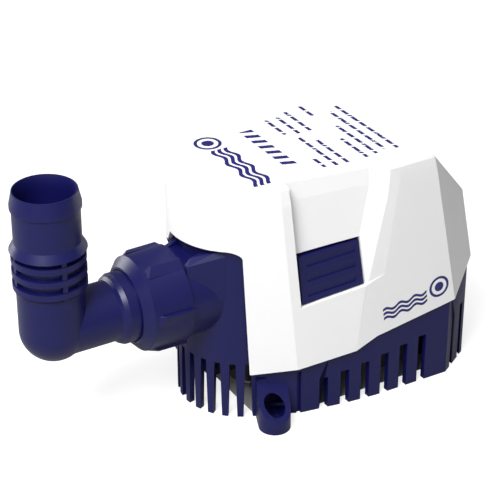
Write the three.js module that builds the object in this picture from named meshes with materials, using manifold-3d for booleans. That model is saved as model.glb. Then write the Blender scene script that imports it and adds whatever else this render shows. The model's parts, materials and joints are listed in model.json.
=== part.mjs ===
// Automatic bilge pump: a slotted strainer base, a lift-off top cover, a centrifugal pump with its
// motor, a float switch, and a discharge elbow held by a union nut.
// Millimetres. +Z is up, +X runs from the discharge to the rear, Y = 0 is the middle plane.
// The origin is on the floor under the middle of the whole object.

import * as THREE from 'three';
import { mergeVertices } from 'three/addons/utils/BufferGeometryUtils.js';
import { ConvexGeometry } from 'three/addons/geometries/ConvexGeometry.js';
import Module from 'manifold-3d';

// ---------------------------------------------------------------- driving dimensions

const BODY_TOP = 115;            // flat top of the cover
const COVER_WALL = 2;
const COVER_EDGE = 0.8;          // bevel round the flat top
const COVER_NOSE = { x: -2.35, r: 30.5 };
const FLANK_ANGLE = 25.3;        // degrees between a nose flank and the X axis
const FLANK_END_TOP = -0.75;     // x where the flank meets the side, at the top
const FLANK_END_LOW = 7.2;       // and near the lower edge
const BAND_Z = 106.5;            // above this the cover's sides lean in a little more
const BAND_LEAN = 0.55;
const REAR_KINK_Z = 85;          // the sloping rear top meets the rear wall here

const AXIS_Z = 58.3;             // height of the discharge axis
const PORT_END = -49.6;          // x of the port's mouth
const PORT_R = 18.6;             // outside of the port
const PORT_BORE = 11.8;

const ELBOW_X = -91.65;          // vertical axis of the hose barb
const BARB_TOP = 124;
const BARB_NECK = 14.3;          // radius that a 28.6 mm hose grips
const PIPE_R = 13.5;
const LEG_R = 14.6;
const ELBOW_BORE = 11.3;

const NUT_REAR = -35.2;
const NUT_FRONT = -57.4;
const NUT_R = 21.9;

const BASE_NOSE_R = 29;
const BASE_WALL = 4.7;           // thickness of the ring under the cover's edge
const TOOTH_DEPTH = 2.8;         // and of the strainer's teeth below it
const NOSE_WALL = 2.4;
const NOSE_WALL_TOP = 88;
const SPIGOT_INSET = 2.7;        // the rim that stands up inside the cover
const SPIGOT_RISE = 5;
const SEAM_GAP = 0.4;            // between the cover's lower edge and the base

const PUMP_X = 20;               // vertical axis of the motor and the impeller
const VOLUTE_R = 25;
const VOLUTE_CAVITY_R = 22.5;
const DECK_R = 29;
const DECK_TOP = 34;
const SHAFT_R = 1.6;
const SHAFT_LOW = 12.6;
const SHAFT_TOP = 90.6;
const RUNNING_GAP = 0.08;
const GAP = 0.3;                 // between pieces that touch

const FLOAT_PIN = { x: 52, z: 33, r: 1.5 };

const FINE = 28;                 // facets round the large visible turned pieces
const MEDIUM = 20;
const COARSE = 12;
const ROUGH = 8;                  // and round the smallest hidden ones

// ---------------------------------------------------------------- solid helpers

const wasm = await Module();
wasm.setup();

// A geometry as a solid, facing out.
function solidOf(geometry) {
  const bare = geometry.clone();
  bare.deleteAttribute('normal');
  bare.deleteAttribute('uv');
  const merged = mergeVertices(bare, 1e-4);
  const place = merged.attributes.position;
  const corner = (i) => new THREE.Vector3().fromBufferAttribute(place, i);
  const faces = [];
  let volume = 0;
  for (let i = 0; i < merged.index.count; i += 3) {
    const [a, b, c] = [0, 1, 2].map((k) => merged.index.getX(i + k));
    if (a !== b && b !== c && c !== a) {
      faces.push([a, b, c]);
      volume += corner(a).dot(corner(b).cross(corner(c)));
    }
  }
  const facing = volume < 0 ? faces.map(([a, b, c]) => [a, c, b]) : faces;
  return new wasm.Manifold(new wasm.Mesh({
    numProp: 3,
    vertProperties: new Float32Array(place.array),
    triVerts: new Uint32Array(facing.flat()),
  }));
}

function geometryOf(solid) {
  const mesh = solid.getMesh();
  const geometry = new THREE.BufferGeometry();
  geometry.setAttribute('position', new THREE.BufferAttribute(mesh.vertProperties, 3));
  geometry.setIndex(new THREE.BufferAttribute(mesh.triVerts, 1));
  geometry.computeVertexNormals();
  return geometry;
}

const join = (first, ...rest) => rest.reduce((sum, next) => sum.add(next), first);
const cut = (first, ...rest) => rest.reduce((left, next) => left.subtract(next), first);
const mirrored = (solid) => solid.mirror([0, 1, 0]);
const both = (solid) => join(solid, mirrored(solid));
const degrees = THREE.MathUtils.degToRad;
const mix = THREE.MathUtils.lerp;

// An outline of [u, v] points pulled along a direction: Z up, X back, or Y across.
function pulled(outline, depth) {
  const shape = new THREE.Shape(outline.map(([u, v]) => new THREE.Vector2(u, v)));
  return new THREE.ExtrudeGeometry(shape, { depth, bevelEnabled: false });
}

function prismZ(outline, low, high) {
  return solidOf(pulled(outline, high - low).translate(0, 0, low));
}

function prismX(outline, low, high) {
  const turn = new THREE.Matrix4().makeBasis(
    new THREE.Vector3(0, 1, 0), new THREE.Vector3(0, 0, 1), new THREE.Vector3(1, 0, 0));
  return solidOf(pulled(outline, high - low).applyMatrix4(turn).translate(low, 0, 0));
}

function prismY(outline, low, high) {
  const turn = new THREE.Matrix4().makeBasis(
    new THREE.Vector3(1, 0, 0), new THREE.Vector3(0, 0, 1), new THREE.Vector3(0, -1, 0));
  return solidOf(pulled(outline, high - low).applyMatrix4(turn).translate(0, high, 0));
}

function box(low, high) {
  const size = high.map((value, i) => value - low[i]);
  const geometry = new THREE.BoxGeometry(...size);
  return solidOf(geometry.translate(...low.map((value, i) => value + size[i] / 2)));
}

// A profile of [radius, height] points turned about a vertical axis.
function turned(profile, x = 0, y = 0, facets = MEDIUM) {
  const points = profile.map(([r, z]) => new THREE.Vector2(r, z));
  const geometry = new THREE.LatheGeometry(points, facets);
  return solidOf(geometry.rotateX(Math.PI / 2).translate(x, y, 0));
}

// The same about the discharge axis, with [radius, x] points.
function turnedX(profile, facets = MEDIUM, y = 0, z = AXIS_Z) {
  const points = profile.map(([r, x]) => new THREE.Vector2(r, x));
  const geometry = new THREE.LatheGeometry(points, facets);
  return solidOf(geometry.rotateZ(-Math.PI / 2).translate(0, y, z));
}

const rod = (r, low, high) => [[0, low], [r, low], [r, high], [0, high]];
const tube = (r, bore, low, high) => [[bore, low], [r, low], [r, high], [bore, high], [bore, low]];
const pump = (profile, facets = MEDIUM) => turned(profile, PUMP_X, 0, facets);

function hull(points) {
  return solidOf(new ConvexGeometry(points.map(([x, y, z]) => new THREE.Vector3(x, y, z))));
}

function arc(cx, cy, r, from, to, steps) {
  return Array.from({ length: steps + 1 }, (_, i) => {
    const angle = degrees(mix(from, to, i / steps));
    return [cx + r * Math.cos(angle), cy + r * Math.sin(angle)];
  });
}

// A closed outline moved inwards by a distance, corner by corner. It runs clockwise or the other way.
function inset(outline, distance) {
  const area = outline.reduce((sum, [x, y], i) => {
    const [nx, ny] = outline[(i + 1) % outline.length];
    return sum + x * ny - nx * y;
  }, 0);
  const side = Math.sign(area);
  return outline.map((point, i) => {
    const before = outline[(i + outline.length - 1) % outline.length];
    const after = outline[(i + 1) % outline.length];
    const first = new THREE.Vector2(point[0] - before[0], point[1] - before[1]).normalize();
    const second = new THREE.Vector2(after[0] - point[0], after[1] - point[1]).normalize();
    const normal = new THREE.Vector2(-first.y - second.y, first.x + second.x).normalize();
    const reach = (side * distance) / (normal.x * -first.y + normal.y * first.x);
    return [point[0] + normal.x * reach, point[1] + normal.y * reach];
  });
}

// Half an outline on the +Y side, from the nose to the rear, closed by its mirror image.
function wholeOutline(half) {
  const back = half.filter(([, y]) => y > 1e-6).reverse().map(([x, y]) => [x, -y]);
  return [...half, ...back];
}

// ---------------------------------------------------------------- materials

const finish = (color, roughness, metalness = 0) =>
  new THREE.MeshStandardMaterial({ color, roughness, metalness });

const materials = {
  white: finish(0xf4f4f2, 0.4),
  navy: finish(0x1b1c55, 0.38),
  black: finish(0x17181a, 0.5),
  rubber: finish(0x101112, 0.85),
  steel: finish(0xb9bcc0, 0.3, 1),
  can: finish(0x8f9398, 0.45, 1),
  magnet: finish(0x33343a, 0.7),
  lamination: finish(0x5f6368, 0.5, 1),
  copper: finish(0xb4662f, 0.35, 1),
  brass: finish(0xb99443, 0.35, 1),
  carbon: finish(0x222325, 0.8),
  foam: finish(0x2a2b2d, 0.9),
  board: finish(0x1c5a34, 0.5),
  glass: finish(0xa9c4b8, 0.1),
};

const pumpGroup = new THREE.Group();

function add(name, solid, material) {
  const mesh = new THREE.Mesh(geometryOf(solid), materials[material].clone());
  mesh.name = name;
  pumpGroup.add(mesh);
}

// ---------------------------------------------------------------- cover outline

// Line of a cover edge: x and half width at two heights, extended past both.
function edgeAt(z, [topX, topY, topZ], [lowX, lowY, lowZ]) {
  const t = (topZ - z) / (topZ - lowZ);
  return [mix(topX, lowX, t), mix(topY, lowY, t)];
}

const EDGE_TOP = BODY_TOP - 1;
const STEP_LINE = [[49, 41, EDGE_TOP], [35.6, 41.8, 28]];
const FACET_LINE = [[56.2, 41.2, EDGE_TOP], [46.5, 42, 32.4]];

// Half the cover's outside at a height: nose arc, flank, side panel, narrow facet, rear side,
// corner chamfer and rear wall.
function coverHalf(z) {
  const tangent = 90 + FLANK_ANGLE;
  const nose = arc(COVER_NOSE.x, 0, COVER_NOSE.r, 180, tangent, 9);
  const [startX, startY] = nose[nose.length - 1];
  const flankX = edgeAt(z, [FLANK_END_TOP, 0, EDGE_TOP], [FLANK_END_LOW, 0, 25])[0];
  const flankEnd = [flankX, startY + (flankX - startX) * Math.tan(degrees(FLANK_ANGLE))];
  const stepLine = edgeAt(z, ...STEP_LINE);
  const facetLine = edgeAt(z, ...FACET_LINE);
  const cornerLine = edgeAt(z, [74.2, 41, EDGE_TOP], [88.5, 42.5, 39.2]);
  const rearLine = z > REAR_KINK_Z
    ? edgeAt(z, [74.2, 41, EDGE_TOP], [101.4, 26.3, REAR_KINK_Z])
    : edgeAt(z, [101.4, 26.3, REAR_KINK_Z], [108.05, 27.3, 49.3]);
  return [...nose, flankEnd, stepLine, facetLine, cornerLine, rearLine];
}

function coverHull(lowest, wall) {
  const levels = [
    [lowest, 0],
    [REAR_KINK_Z, 0],
    [BAND_Z, 0],
    [EDGE_TOP - wall, BAND_LEAN],
    [BODY_TOP - wall * 1.1, BAND_LEAN + COVER_EDGE],
  ];
  const corners = levels.flatMap(([z, lean]) => {
    const outline = wholeOutline(coverHalf(Math.min(z, EDGE_TOP - 0.5)));
    return inset(outline, wall + lean).map(([x, y]) => [x, y, z]);
  });
  return hull(corners);
}

// The cover's lower edge rises from the nose to the rear.
const LOWER_EDGE = [[-60, 23.7], [-11, 23.7], [7.15, 25.2], [35.65, 27.9], [46.5, 32.4],
  [88.5, 39.2], [108, 49.3], [130, 60.7]];

function belowEdge(offset, low = -20) {
  const line = LOWER_EDGE.map(([x, z]) => [x, z + offset]);
  return prismY([...line, [130, low], [-60, low]], -60, 60);
}

function aboveEdge(offset) {
  const line = LOWER_EDGE.map(([x, z]) => [x, z + offset]);
  return prismY([...line, [130, 200], [-60, 200]], -60, 60);
}

// ---------------------------------------------------------------- side recess and release tab

// Half width of the cover's side panel.
const sideY = (x, z) => 34.5 + 0.119 * (x + 0.75) + 0.0335 * (113.6 - z) + 0.1;

const RECESS = {
  top: BODY_TOP + 3,
  frontTop: 3.4, frontLow: 9,
  rearInTop: 44.6, rearInLow: 33.2,
  rearOutTop: 49.8, rearOutLow: 39.9,
  depthFront: 4.4, depthRear: 3,
  ledgeFront: 56, ledgeSlope: 0.15,
};

const ledgeZ = (x) => RECESS.ledgeFront + RECESS.ledgeSlope * (x - RECESS.frontLow);

// The recess in the cover's side. deeper moves its floor and walls inwards, to leave a wall behind it.
function recess(deeper) {
  const { top, frontTop, frontLow, rearInTop, rearInLow, rearOutTop, rearOutLow } = RECESS;
  const outside = 4;
  const corner = (x, z, depth) => [x, sideY(x, z) - depth - deeper, z];
  const past = ([inX, inY, inZ], outX, depth) =>
    [inX + (outX - inX) * outside, inY + (depth) * outside, inZ];
  const frontTopIn = corner(frontTop - deeper, top, RECESS.depthFront);
  const rearTopIn = corner(rearInTop + deeper * 0.4, top, RECESS.depthRear);
  const lowFront = ledgeZ(frontLow) - deeper;
  const lowRear = ledgeZ(rearInLow) - deeper;
  const frontLowIn = corner(frontLow - deeper, lowFront, RECESS.depthFront);
  const rearLowIn = corner(rearInLow + deeper * 0.4, lowRear, RECESS.depthRear);
  const frontOut = ([x, y, z]) => [x - 0.6, y + outside * RECESS.depthFront, z];
  const rearTopOut = past(rearTopIn, rearOutTop + deeper, RECESS.depthRear);
  const rearLowOut = past(rearLowIn, rearOutLow + deeper, RECESS.depthRear);
  rearLowOut[2] += RECESS.ledgeSlope * (rearLowOut[0] - rearLowIn[0]);
  return hull([frontTopIn, rearTopIn, frontLowIn, rearLowIn,
    frontOut(frontTopIn), frontOut(frontLowIn), rearTopOut, rearLowOut]);
}

// The floor of the recess leans in above the band, as the cover's sides do.
function recessBand() {
  const leanTop = BAND_LEAN * (RECESS.top - BAND_Z) / (EDGE_TOP - BAND_Z);
  return hull([[BAND_Z, 0], [RECESS.top, leanTop]].flatMap(([z, lean]) => {
    const up = (z - RECESS.ledgeFront) / (RECESS.top - RECESS.ledgeFront);
    const front = mix(RECESS.frontLow, RECESS.frontTop, up);
    const rear = mix(RECESS.rearInLow, RECESS.rearInTop, up);
    const rearOut = mix(RECESS.rearOutLow, RECESS.rearOutTop, up);
    const inner = rear - lean * (rearOut - rear) / RECESS.depthRear;
    return [
      [front, sideY(front, z) - RECESS.depthFront - lean, z], [front, sideY(front, z) - 1, z],
      [inner, sideY(inner, z) - RECESS.depthRear - lean, z], [rear, sideY(rear, z) - 1, z],
    ];
  }));
}

// The shallow facet behind the recess, above the level of the ledge.
const RELIEF = { slope: 0.085, rise: 0.3, outside: 4 };

function relief() {
  const corners = [RECESS.top, ledgeZ(RECESS.rearOutLow)].flatMap((z, level) => {
    const stepX = edgeAt(z, ...STEP_LINE)[0] - 1;
    const [facetX, facetY] = edgeAt(z, ...FACET_LINE);
    const facetZ = z + level * RELIEF.rise * (facetX - stepX);
    const stepY = facetY - RELIEF.slope * (facetX - stepX);
    return [[stepX, stepY, z], [facetX, facetY, facetZ], [stepX, stepY + RELIEF.outside, z],
      [facetX, facetY + RELIEF.outside, facetZ]];
  });
  return hull(corners);
}

// Tab outline as seen from the side: [x, z] from the lower front corner round.
const TAB = {
  lowFront: [10.1, 56.9], lowRear: [39.6, 60.6], highRear: [37.7, 82.2], highFront: [9.3, 79.4],
  depthHigh: 3.1, depthLow: 1.2, thick: 2.6,
};
const TAB_SEAT_Z = 28.4;         // top of the pad that a tab's neck stands on
const TAB_ROOT_Z = TAB_SEAT_Z + GAP;
const NECK = { front: 14, rear: 33, top: 62, outer: 2.9, inner: 4.9 };
const TAB_WINDOW = 0.9;          // clearance round the tab in the cover
const TAB_TOP_GAP = 1.4;

function tabPoint([x, z], extra) {
  const t = (z - 57) / (81 - 57);
  return [x, sideY(x, z) - mix(TAB.depthLow, TAB.depthHigh, t) - extra, z];
}

function slab(corners, front, back) {
  return hull(corners.flatMap((corner) => [tabPoint(corner, front), tabPoint(corner, back)]));
}

// ---------------------------------------------------------------- top cover

// The opening round the outlet. Its far edge drops steeply and then follows the nut.
const CUT_OUT = {
  top: 86, near: 27.8, nearLow: 29.4, round: 4, low: 10,
  far: 4.3, farR: 23.6, farTurn: 71.5,
};
const POSTS = [45, 135, 225, 315];
const POST_RADIUS = 25.5;
const POST_LOW = 95;
const postAt = (angle) => [
  PUMP_X + POST_RADIUS * Math.cos(degrees(angle)), POST_RADIUS * Math.sin(degrees(angle))];
const GROMMET = { z: 62, hole: 5.3, bore: 3.8, tilt: 10.6 };
const grommetX = 108.05 - (GROMMET.z - 49.3) * Math.tan(degrees(GROMMET.tilt));

function topCover() {
  const outside = coverHull(15, 0);
  const pockets = both(join(recess(0), recessBand(), relief()));
  const backs = both(recess(COVER_WALL));
  const hollow = cut(coverHull(10, COVER_WALL), backs);
  const shell = cut(outside, pockets, hollow, belowEdge(0));
  const window = both(slab(windowCorners(), -12, 12));
  const neckWay = both(hull([[12.6, 50], [34.4, 50], [34.4, 62], [12.6, 62]].flatMap(([x, z]) => [
    [x, sideY(x, z) - COVER_WALL - 0.35, z], [x, sideY(x, z) - 12, z]])));
  const { top, near, nearLow, round, low, far, farR, farTurn } = CUT_OUT;
  const opening = prismX([
    [-nearLow, low], [farR, low],
    ...arc(0, AXIS_Z, farR, 0, farTurn, 6), [far, top],
    ...arc(-near + round, top - round, round, 90, 180, 5),
  ], -60, -8);
  const cableHole = turnedX(rod(GROMMET.hole, -6, 6), COARSE, 0, 0)
    .rotate([0, -GROMMET.tilt, 0]).translate([grommetX, 0, GROMMET.z]);
  const posts = POSTS.map((angle) => turned(tube(3.2, 1.1, POST_LOW, 113.6), ...postAt(angle), ROUGH));
  const body = cut(shell, window, neckWay, opening, cableHole);
  return join(body, ...posts);
}

function windowCorners() {
  const grow = TAB_WINDOW;
  const { lowFront, lowRear, highRear, highFront } = TAB;
  return [
    [lowFront[0] - grow, lowFront[1] - grow * 0.6], [lowRear[0] + grow * 0.6, lowRear[1] - grow * 0.6],
    [highRear[0] + grow * 0.6, highRear[1] + TAB_TOP_GAP],
    [highFront[0] - grow, highFront[1] + TAB_TOP_GAP],
  ];
}

// ---------------------------------------------------------------- release tabs

function releaseTab() {
  const { lowFront, lowRear, highRear, highFront, thick } = TAB;
  const plate = slab([lowFront, lowRear, highRear, highFront], 0, thick);
  const grips = [0, 1, 2].map((i) => {
    const low = mix(61.4, 75.4, i / 2);
    const foot = (x) => low + 0.105 * (x - 25);
    const corners = [
      tabPoint([13, foot(13)], 0.7), tabPoint([36, foot(36)], 0.7),
      tabPoint([13, foot(13)], -1), tabPoint([36, foot(36)], -1),
      tabPoint([13, foot(13) + 4.6], -0.05), tabPoint([36, foot(36) + 4.6], -0.05),
      tabPoint([13, foot(13) + 4.6], -1), tabPoint([36, foot(36) + 4.6], -1),
    ];
    return hull(corners);
  });
  const { front, rear, top, outer, inner } = NECK;
  const neck = hull([[front, TAB_ROOT_Z], [rear, TAB_ROOT_Z], [front, top], [rear, top]].flatMap(
    ([x, z]) => [[x, sideY(x, z) - outer, z], [x, sideY(x, z) - inner, z]]));
  const nib = box([24, sideY(24, 82) - 5.2, 80], [28, sideY(24, 82) - 3.8, 81.6]);
  return cut(join(plate, neck, nib), ...grips);
}

// ---------------------------------------------------------------- strainer base

function baseHalf() {
  const corner = [10.75, 36];
  const reach = Math.hypot(...corner);
  const tangent = THREE.MathUtils.radToDeg(
    Math.atan2(corner[1], corner[0]) + Math.acos(BASE_NOSE_R / reach));
  return [...arc(0, 0, BASE_NOSE_R, 180, tangent, 9), corner,
    [23.35, 38.1], [33.25, 39.8], [47.65, 41.2], [86.25, 41.7], [103.25, 31.1], [104.3, 0]];
}

const FOOT = { x: -5.25, y: 39, r: 7.2, boreR: 4.75, holeR: 3.2, floor: 3, web: 11 };
const FINS = { first: -4.5, step: 13.8, top: 27.7, halfTop: 1.34, halfLow: 2.1 };
const SIDE_SLOTS = { first: 19.15, step: 10.14, width: 4.2, top: 16, rise: 1.66, count: 6 };
const BLOCK_FRONT = -34.8;       // the outlet block ends just behind the nut
const BOSS_R = 20.6;

function skirt() {
  const outline = wholeOutline(baseHalf());
  const inner = join(prismZ(inset(outline, BASE_WALL), -1, 70),
    cut(prismZ(inset(outline, TOOTH_DEPTH), -1, 70), aboveEdge(-3)));
  const teeth = cut(prismZ(outline, 0, 62), inner, aboveEdge(-SEAM_GAP));
  const spigot = cut(prismZ(inset(outline, SPIGOT_INSET), 0, 66), inner, aboveEdge(SPIGOT_RISE));
  const noseWall = cut(prismZ(outline, 0, NOSE_WALL_TOP), prismZ(inset(outline, NOSE_WALL), -1, 90))
    .intersect(box([-40, -40, 20], [-9.5, 40, 100]));
  return join(teeth, spigot, noseWall);
}

// Slots of the comb under the nose, wider at the foot and open below.
function noseSlots() {
  const slots = [];
  for (let i = -5; i <= 4; i += 1) {
    const angle = 180 - (FINS.first + (i + 0.5) * FINS.step);
    const wedge = prismX([[-FINS.halfLow, -1], [FINS.halfLow, -1],
      [FINS.halfTop, FINS.top], [-FINS.halfTop, FINS.top]], 20, 34);
    slots.push(wedge.rotate([0, 0, angle]));
  }
  return slots;
}

function sideSlots() {
  const slots = [];
  for (let i = 0; i < SIDE_SLOTS.count; i += 1) {
    const x = SIDE_SLOTS.first + SIDE_SLOTS.step * i;
    const top = SIDE_SLOTS.top + SIDE_SLOTS.rise * i;
    slots.push(box([x, 28, -1], [x + SIDE_SLOTS.width, 46, top]));
  }
  slots.push(box([90.2, 24, -1], [92.8, 46, 27.5]), box([98.2, 22, -1], [100.8, 46, 28.9]));
  return slots.flatMap((slot) => [slot, mirrored(slot)]);
}

function rearSlots() {
  return [-2, -1, 0, 1, 2].map((i) => box([96, i * 9 - 2, -1], [108, i * 9 + 2, 27]));
}

// A screw foot: a round pad run back to the wall, with a sloping top, a counterbore and a hole.
function foot() {
  const out = new THREE.Vector2(-0.389, 0.921);
  const centre = new THREE.Vector2(FOOT.x, FOOT.y);
  const across = new THREE.Vector2(out.y, -out.x).multiplyScalar(FOOT.r);
  const back = out.clone().multiplyScalar(-FOOT.web);
  const web = [across, across.clone().negate()].flatMap((side) => {
    const front = centre.clone().add(side);
    return [front, front.clone().add(back)];
  });
  const pad = join(turned(rod(FOOT.r, 0, 20), FOOT.x, FOOT.y, MEDIUM),
    hull(web.flatMap((corner) => [[corner.x, corner.y, 0], [corner.x, corner.y, 20]])));
  const slope = prismX([[60, 2], [FOOT.y + FOOT.r, 5.6], [30, 18], [30, 40], [60, 40]], -30, 20);
  return cut(pad, slope, prismZ(inset(wholeOutline(baseHalf()), 1), -1, 30));
}

function footHoles() {
  return [
    turned(rod(FOOT.boreR, FOOT.floor, 40), FOOT.x, FOOT.y, MEDIUM),
    turned(rod(FOOT.holeR, -1, 10), FOOT.x, FOOT.y, MEDIUM)];
}

// The collar round the outlet, with a tapering block on its near side and a thin wall on its far side.
function outletBlock() {
  const behind = prismZ(inset(wholeOutline(baseHalf()), 1), 0, 100);
  const boss = turnedX(rod(BOSS_R, BLOCK_FRONT, -15), FINE);
  const root = { x: -19.5, y: -21.5 };
  const tip = { x: BLOCK_FRONT, y: -15, z: 78.2 };
  const nearY = (x) => mix(root.y, tip.y, (root.x - x) / (root.x - tip.x));
  const face = [[tip.x, 56], [-30.4, 55.9], [-25.6, 56.6], [-21.9, 58.6], [root.x, 63.6], [root.x, 82],
    [tip.x, tip.z]];
  const inner = -12.5;
  const near = hull([
    ...face.map(([x, z]) => [x, nearY(x), z]),
    ...face.map(([x, z]) => [x, inner, z]),
    [-31.8, inner, 80.7], [-22.3, -18.5, 84], [-22.3, inner, 84],
  ]);
  const far = prismY([[BLOCK_FRONT, 70], [BLOCK_FRONT, 78.4], [-29.5, 81], [-20, 81], [-20, 70]], 4, 6.2);
  return cut(join(boss, near, far), behind);
}

// What a release tab stands on, behind the cover's wall.
function tabSeat() {
  const outer = (x) => sideY(x, TAB_SEAT_Z) - NECK.outer;
  const inner = (x) => sideY(x, TAB_SEAT_Z) - NECK.inner;
  return hull([NECK.front - 1, NECK.rear + 1].flatMap((x) => [22, TAB_SEAT_Z].flatMap((z) => [
    [x, outer(x), z], [x, inner(x), z]])));
}

function strainerBase() {
  const lugs = [[8, 12, 26], [35.2, 38.2, 23.4]].flatMap(([low, high, inner]) => {
    const lug = box([low, inner, 27.4], [high, 42, DECK_TOP - 3 - GAP]).intersect(
      prismZ(inset(wholeOutline(baseHalf()), 1), 0, 100));
    return [lug, mirrored(lug)];
  });
  const portHole = turnedX(rod(PORT_R + 0.4, -60, -15), FINE);
  const tabNotch = both(box([NECK.front - 1.5, 30, TAB_SEAT_Z], [NECK.rear + 1.5, 46, 60]));
  const groove = both(box([8.6, 34.4, -1], [10.4, 40, 22]));
  const solid = join(skirt(), outletBlock(), both(foot()), both(tabSeat()), ...lugs);
  return cut(solid, portHole, groove, tabNotch, ...noseSlots(), ...sideSlots(), ...rearSlots(),
    ...footHoles(), ...footHoles().map(mirrored));
}

// ---------------------------------------------------------------- volute, riser and port

const RISER = { front: -21.5, back: -9.5, half: 14, halfLow: 9.8, low: 15, step: 29.6, top: 75, wall: 2 };
const SCREW_ANGLES = [90, 210, 330];
const INLET = {
  low: 11.5, top: 14.7, eye: 9.5, lugRadius: 28, lugR: 3.4, screwR: 1.3,
  skirtLow: 4, skirtWall: 2, gates: 8, gateHalf: 2.2, gateTop: 9,
};
const lugAt = (angle) => [
  PUMP_X + INLET.lugRadius * Math.cos(degrees(angle)), INLET.lugRadius * Math.sin(degrees(angle))];
const SEAL_RING = { r: 24, section: 1.05, groove: 1.35 };

function voluteHousing() {
  const { front, back, half, halfLow, low, step, top, wall } = RISER;
  const outer = join(
    pump(rod(VOLUTE_R, low, DECK_TOP - 2), MEDIUM),
    pump(rod(DECK_R, DECK_TOP - 3, DECK_TOP), MEDIUM),
    box([front, -half, step], [back, half, top]),
    box([front, -halfLow, low], [0, halfLow, step]),
    turnedX(rod(PORT_R, PORT_END, -24), FINE),
    turnedX(rod(PORT_BORE + 2.2, -26, front + 1), FINE),
    ...SCREW_ANGLES.map((angle) => turned(rod(INLET.lugR, low, DECK_TOP - 2), ...lugAt(angle), COARSE)));
  return cut(outer,
    pump(rod(VOLUTE_CAVITY_R, low - 1, 28.5), MEDIUM),
    box([front + wall, -half + wall, step + wall], [back - wall, half - wall, top - wall]),
    box([front + wall, -halfLow + wall, low + wall], [back - wall, halfLow - wall, top - wall]),
    box([back - wall - 1, -halfLow + wall, low + wall], [2, halfLow - wall, step - wall]),
    turnedX(rod(PORT_BORE, PORT_END - 1, front + wall + 1), FINE),
    pump(rod(3, 20, 40), COARSE),
    pump(rod(6.3, 30, 40), COARSE),
    pump(tube(SEAL_RING.r + SEAL_RING.groove, SEAL_RING.r - SEAL_RING.groove, DECK_TOP - 1.9, 40), MEDIUM),
    ...SCREW_ANGLES.map((angle) => turned(rod(INLET.screwR, low - 1, low + 9), ...lugAt(angle), ROUGH)));
}

// The plate under the impeller, with its eye and a slotted skirt that keeps larger dirt out.
function inletPlate() {
  const { low, top, eye, lugR, screwR, skirtLow, skirtWall, gates, gateHalf, gateTop } = INLET;
  const discs = [
    pump(rod(VOLUTE_R, low, top), MEDIUM),
    ...SCREW_ANGLES.map((angle) => turned(rod(lugR, low, top), ...lugAt(angle), COARSE))];
  const holes = SCREW_ANGLES.map((angle) =>
    turned(rod(screwR + 0.3, low - 1, top + 1), ...lugAt(angle), ROUGH));
  const collar = pump(tube(eye + 2, eye, low - 3, low + 0.5), MEDIUM);
  const skirt = pump(tube(VOLUTE_R, VOLUTE_R - skirtWall, skirtLow, low + 0.5), MEDIUM);
  const gate = box([VOLUTE_R - skirtWall - 2, -gateHalf, skirtLow - 1], [VOLUTE_R + 2, gateHalf, gateTop]);
  const ways = Array.from({ length: gates }, (_, i) => gate
    .rotate([0, 0, (360 / gates) * (i + 0.5)]).translate([PUMP_X, 0, 0]));
  const plate = join(...discs, collar, cut(skirt, ...ways));
  return cut(plate, pump(rod(eye, low - 4, top + 1), MEDIUM), ...holes);
}

// A pan-head screw pointing up or down along Z.
function screw(x, y, headZ, shankEnd, headR, shankR) {
  const up = Math.sign(shankEnd - headZ);
  const profile = [[0, headZ - up * 1.8], [headR * 0.75, headZ - up * 1.8], [headR, headZ - up * 0.9],
    [headR, headZ], [shankR, headZ], [shankR, shankEnd - up * 1.5], [0, shankEnd]];
  const slot = box([x - headR, y - 0.4, Math.min(headZ - up * 1.9, headZ - up * 1)],
    [x + headR, y + 0.4, Math.max(headZ - up * 1.9, headZ - up * 1)]);
  return cut(turned(profile, x, y, ROUGH), slot);
}

const IMPELLER = {
  hubR: 4.6, hubLow: 16.2, hubTop: 27, discR: 19, discLow: 24.2, discTop: 26.2,
  vanes: 5, vaneR: 18.6, vaneLow: 17.4, curveX: 9.5, curveOuter: 11, curveInner: 9.4,
};

function impeller() {
  const { hubR, hubLow, hubTop, discR, discLow, discTop, vaneR, vaneLow } = IMPELLER;
  const { curveX, curveOuter, curveInner } = IMPELLER;
  const hub = pump(rod(hubR, hubLow, hubTop), COARSE);
  const disc = pump(rod(discR, discLow, discTop), MEDIUM);
  const vanes = Array.from({ length: IMPELLER.vanes }, (_, i) => {
    const outer = arc(curveX, 0, curveOuter, 40, 165, 5);
    const inner = arc(curveX, 0, curveInner, 165, 40, 5);
    const vane = prismZ([...outer, ...inner], vaneLow, discLow + 0.4);
    return vane.rotate([0, 0, i * (360 / IMPELLER.vanes)]).translate([PUMP_X, 0, 0]);
  });
  const rim = pump(rod(vaneR, 10, 40), MEDIUM);
  return cut(join(hub, disc, ...vanes.map((vane) => vane.intersect(rim))),
    pump(rod(SHAFT_R + 0.1, 10, 40), COARSE));
}

function impellerNut() {
  const hexagon = arc(PUMP_X, 0, 3.4, 0, 300, 5);
  return cut(prismZ(hexagon, 13.2, 15.9), pump(rod(SHAFT_R + 0.1, 10, 20), COARSE));
}

// ---------------------------------------------------------------- motor

const MOTOR = { low: 38, top: 88, r: 17.8, wall: 1.2 };
const CORE = { low: 48, top: 70, r: 12.6, teeth: 7, slotAt: 8.4, slotR: 2.6, wireR: 2.1 };
const COMMUTATOR = { low: 76.5, top: 84, r: 4.2 };

function motorCan() {
  const inner = MOTOR.r - MOTOR.wall;
  const shell = pump([[0, MOTOR.low], [MOTOR.r, MOTOR.low], [MOTOR.r, MOTOR.top], [inner, MOTOR.top],
    [inner, MOTOR.low + 1.5], [0, MOTOR.low + 1.5]], MEDIUM);
  const nose = pump(rod(7.6, 34.6, MOTOR.low + 0.5), COARSE);
  const pocket = pump(rod(5, 36, 50), COARSE);
  const hole = pump(rod(SHAFT_R + 0.6, 30, 50), COARSE);
  return cut(join(shell, nose), pocket, hole);
}

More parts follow.
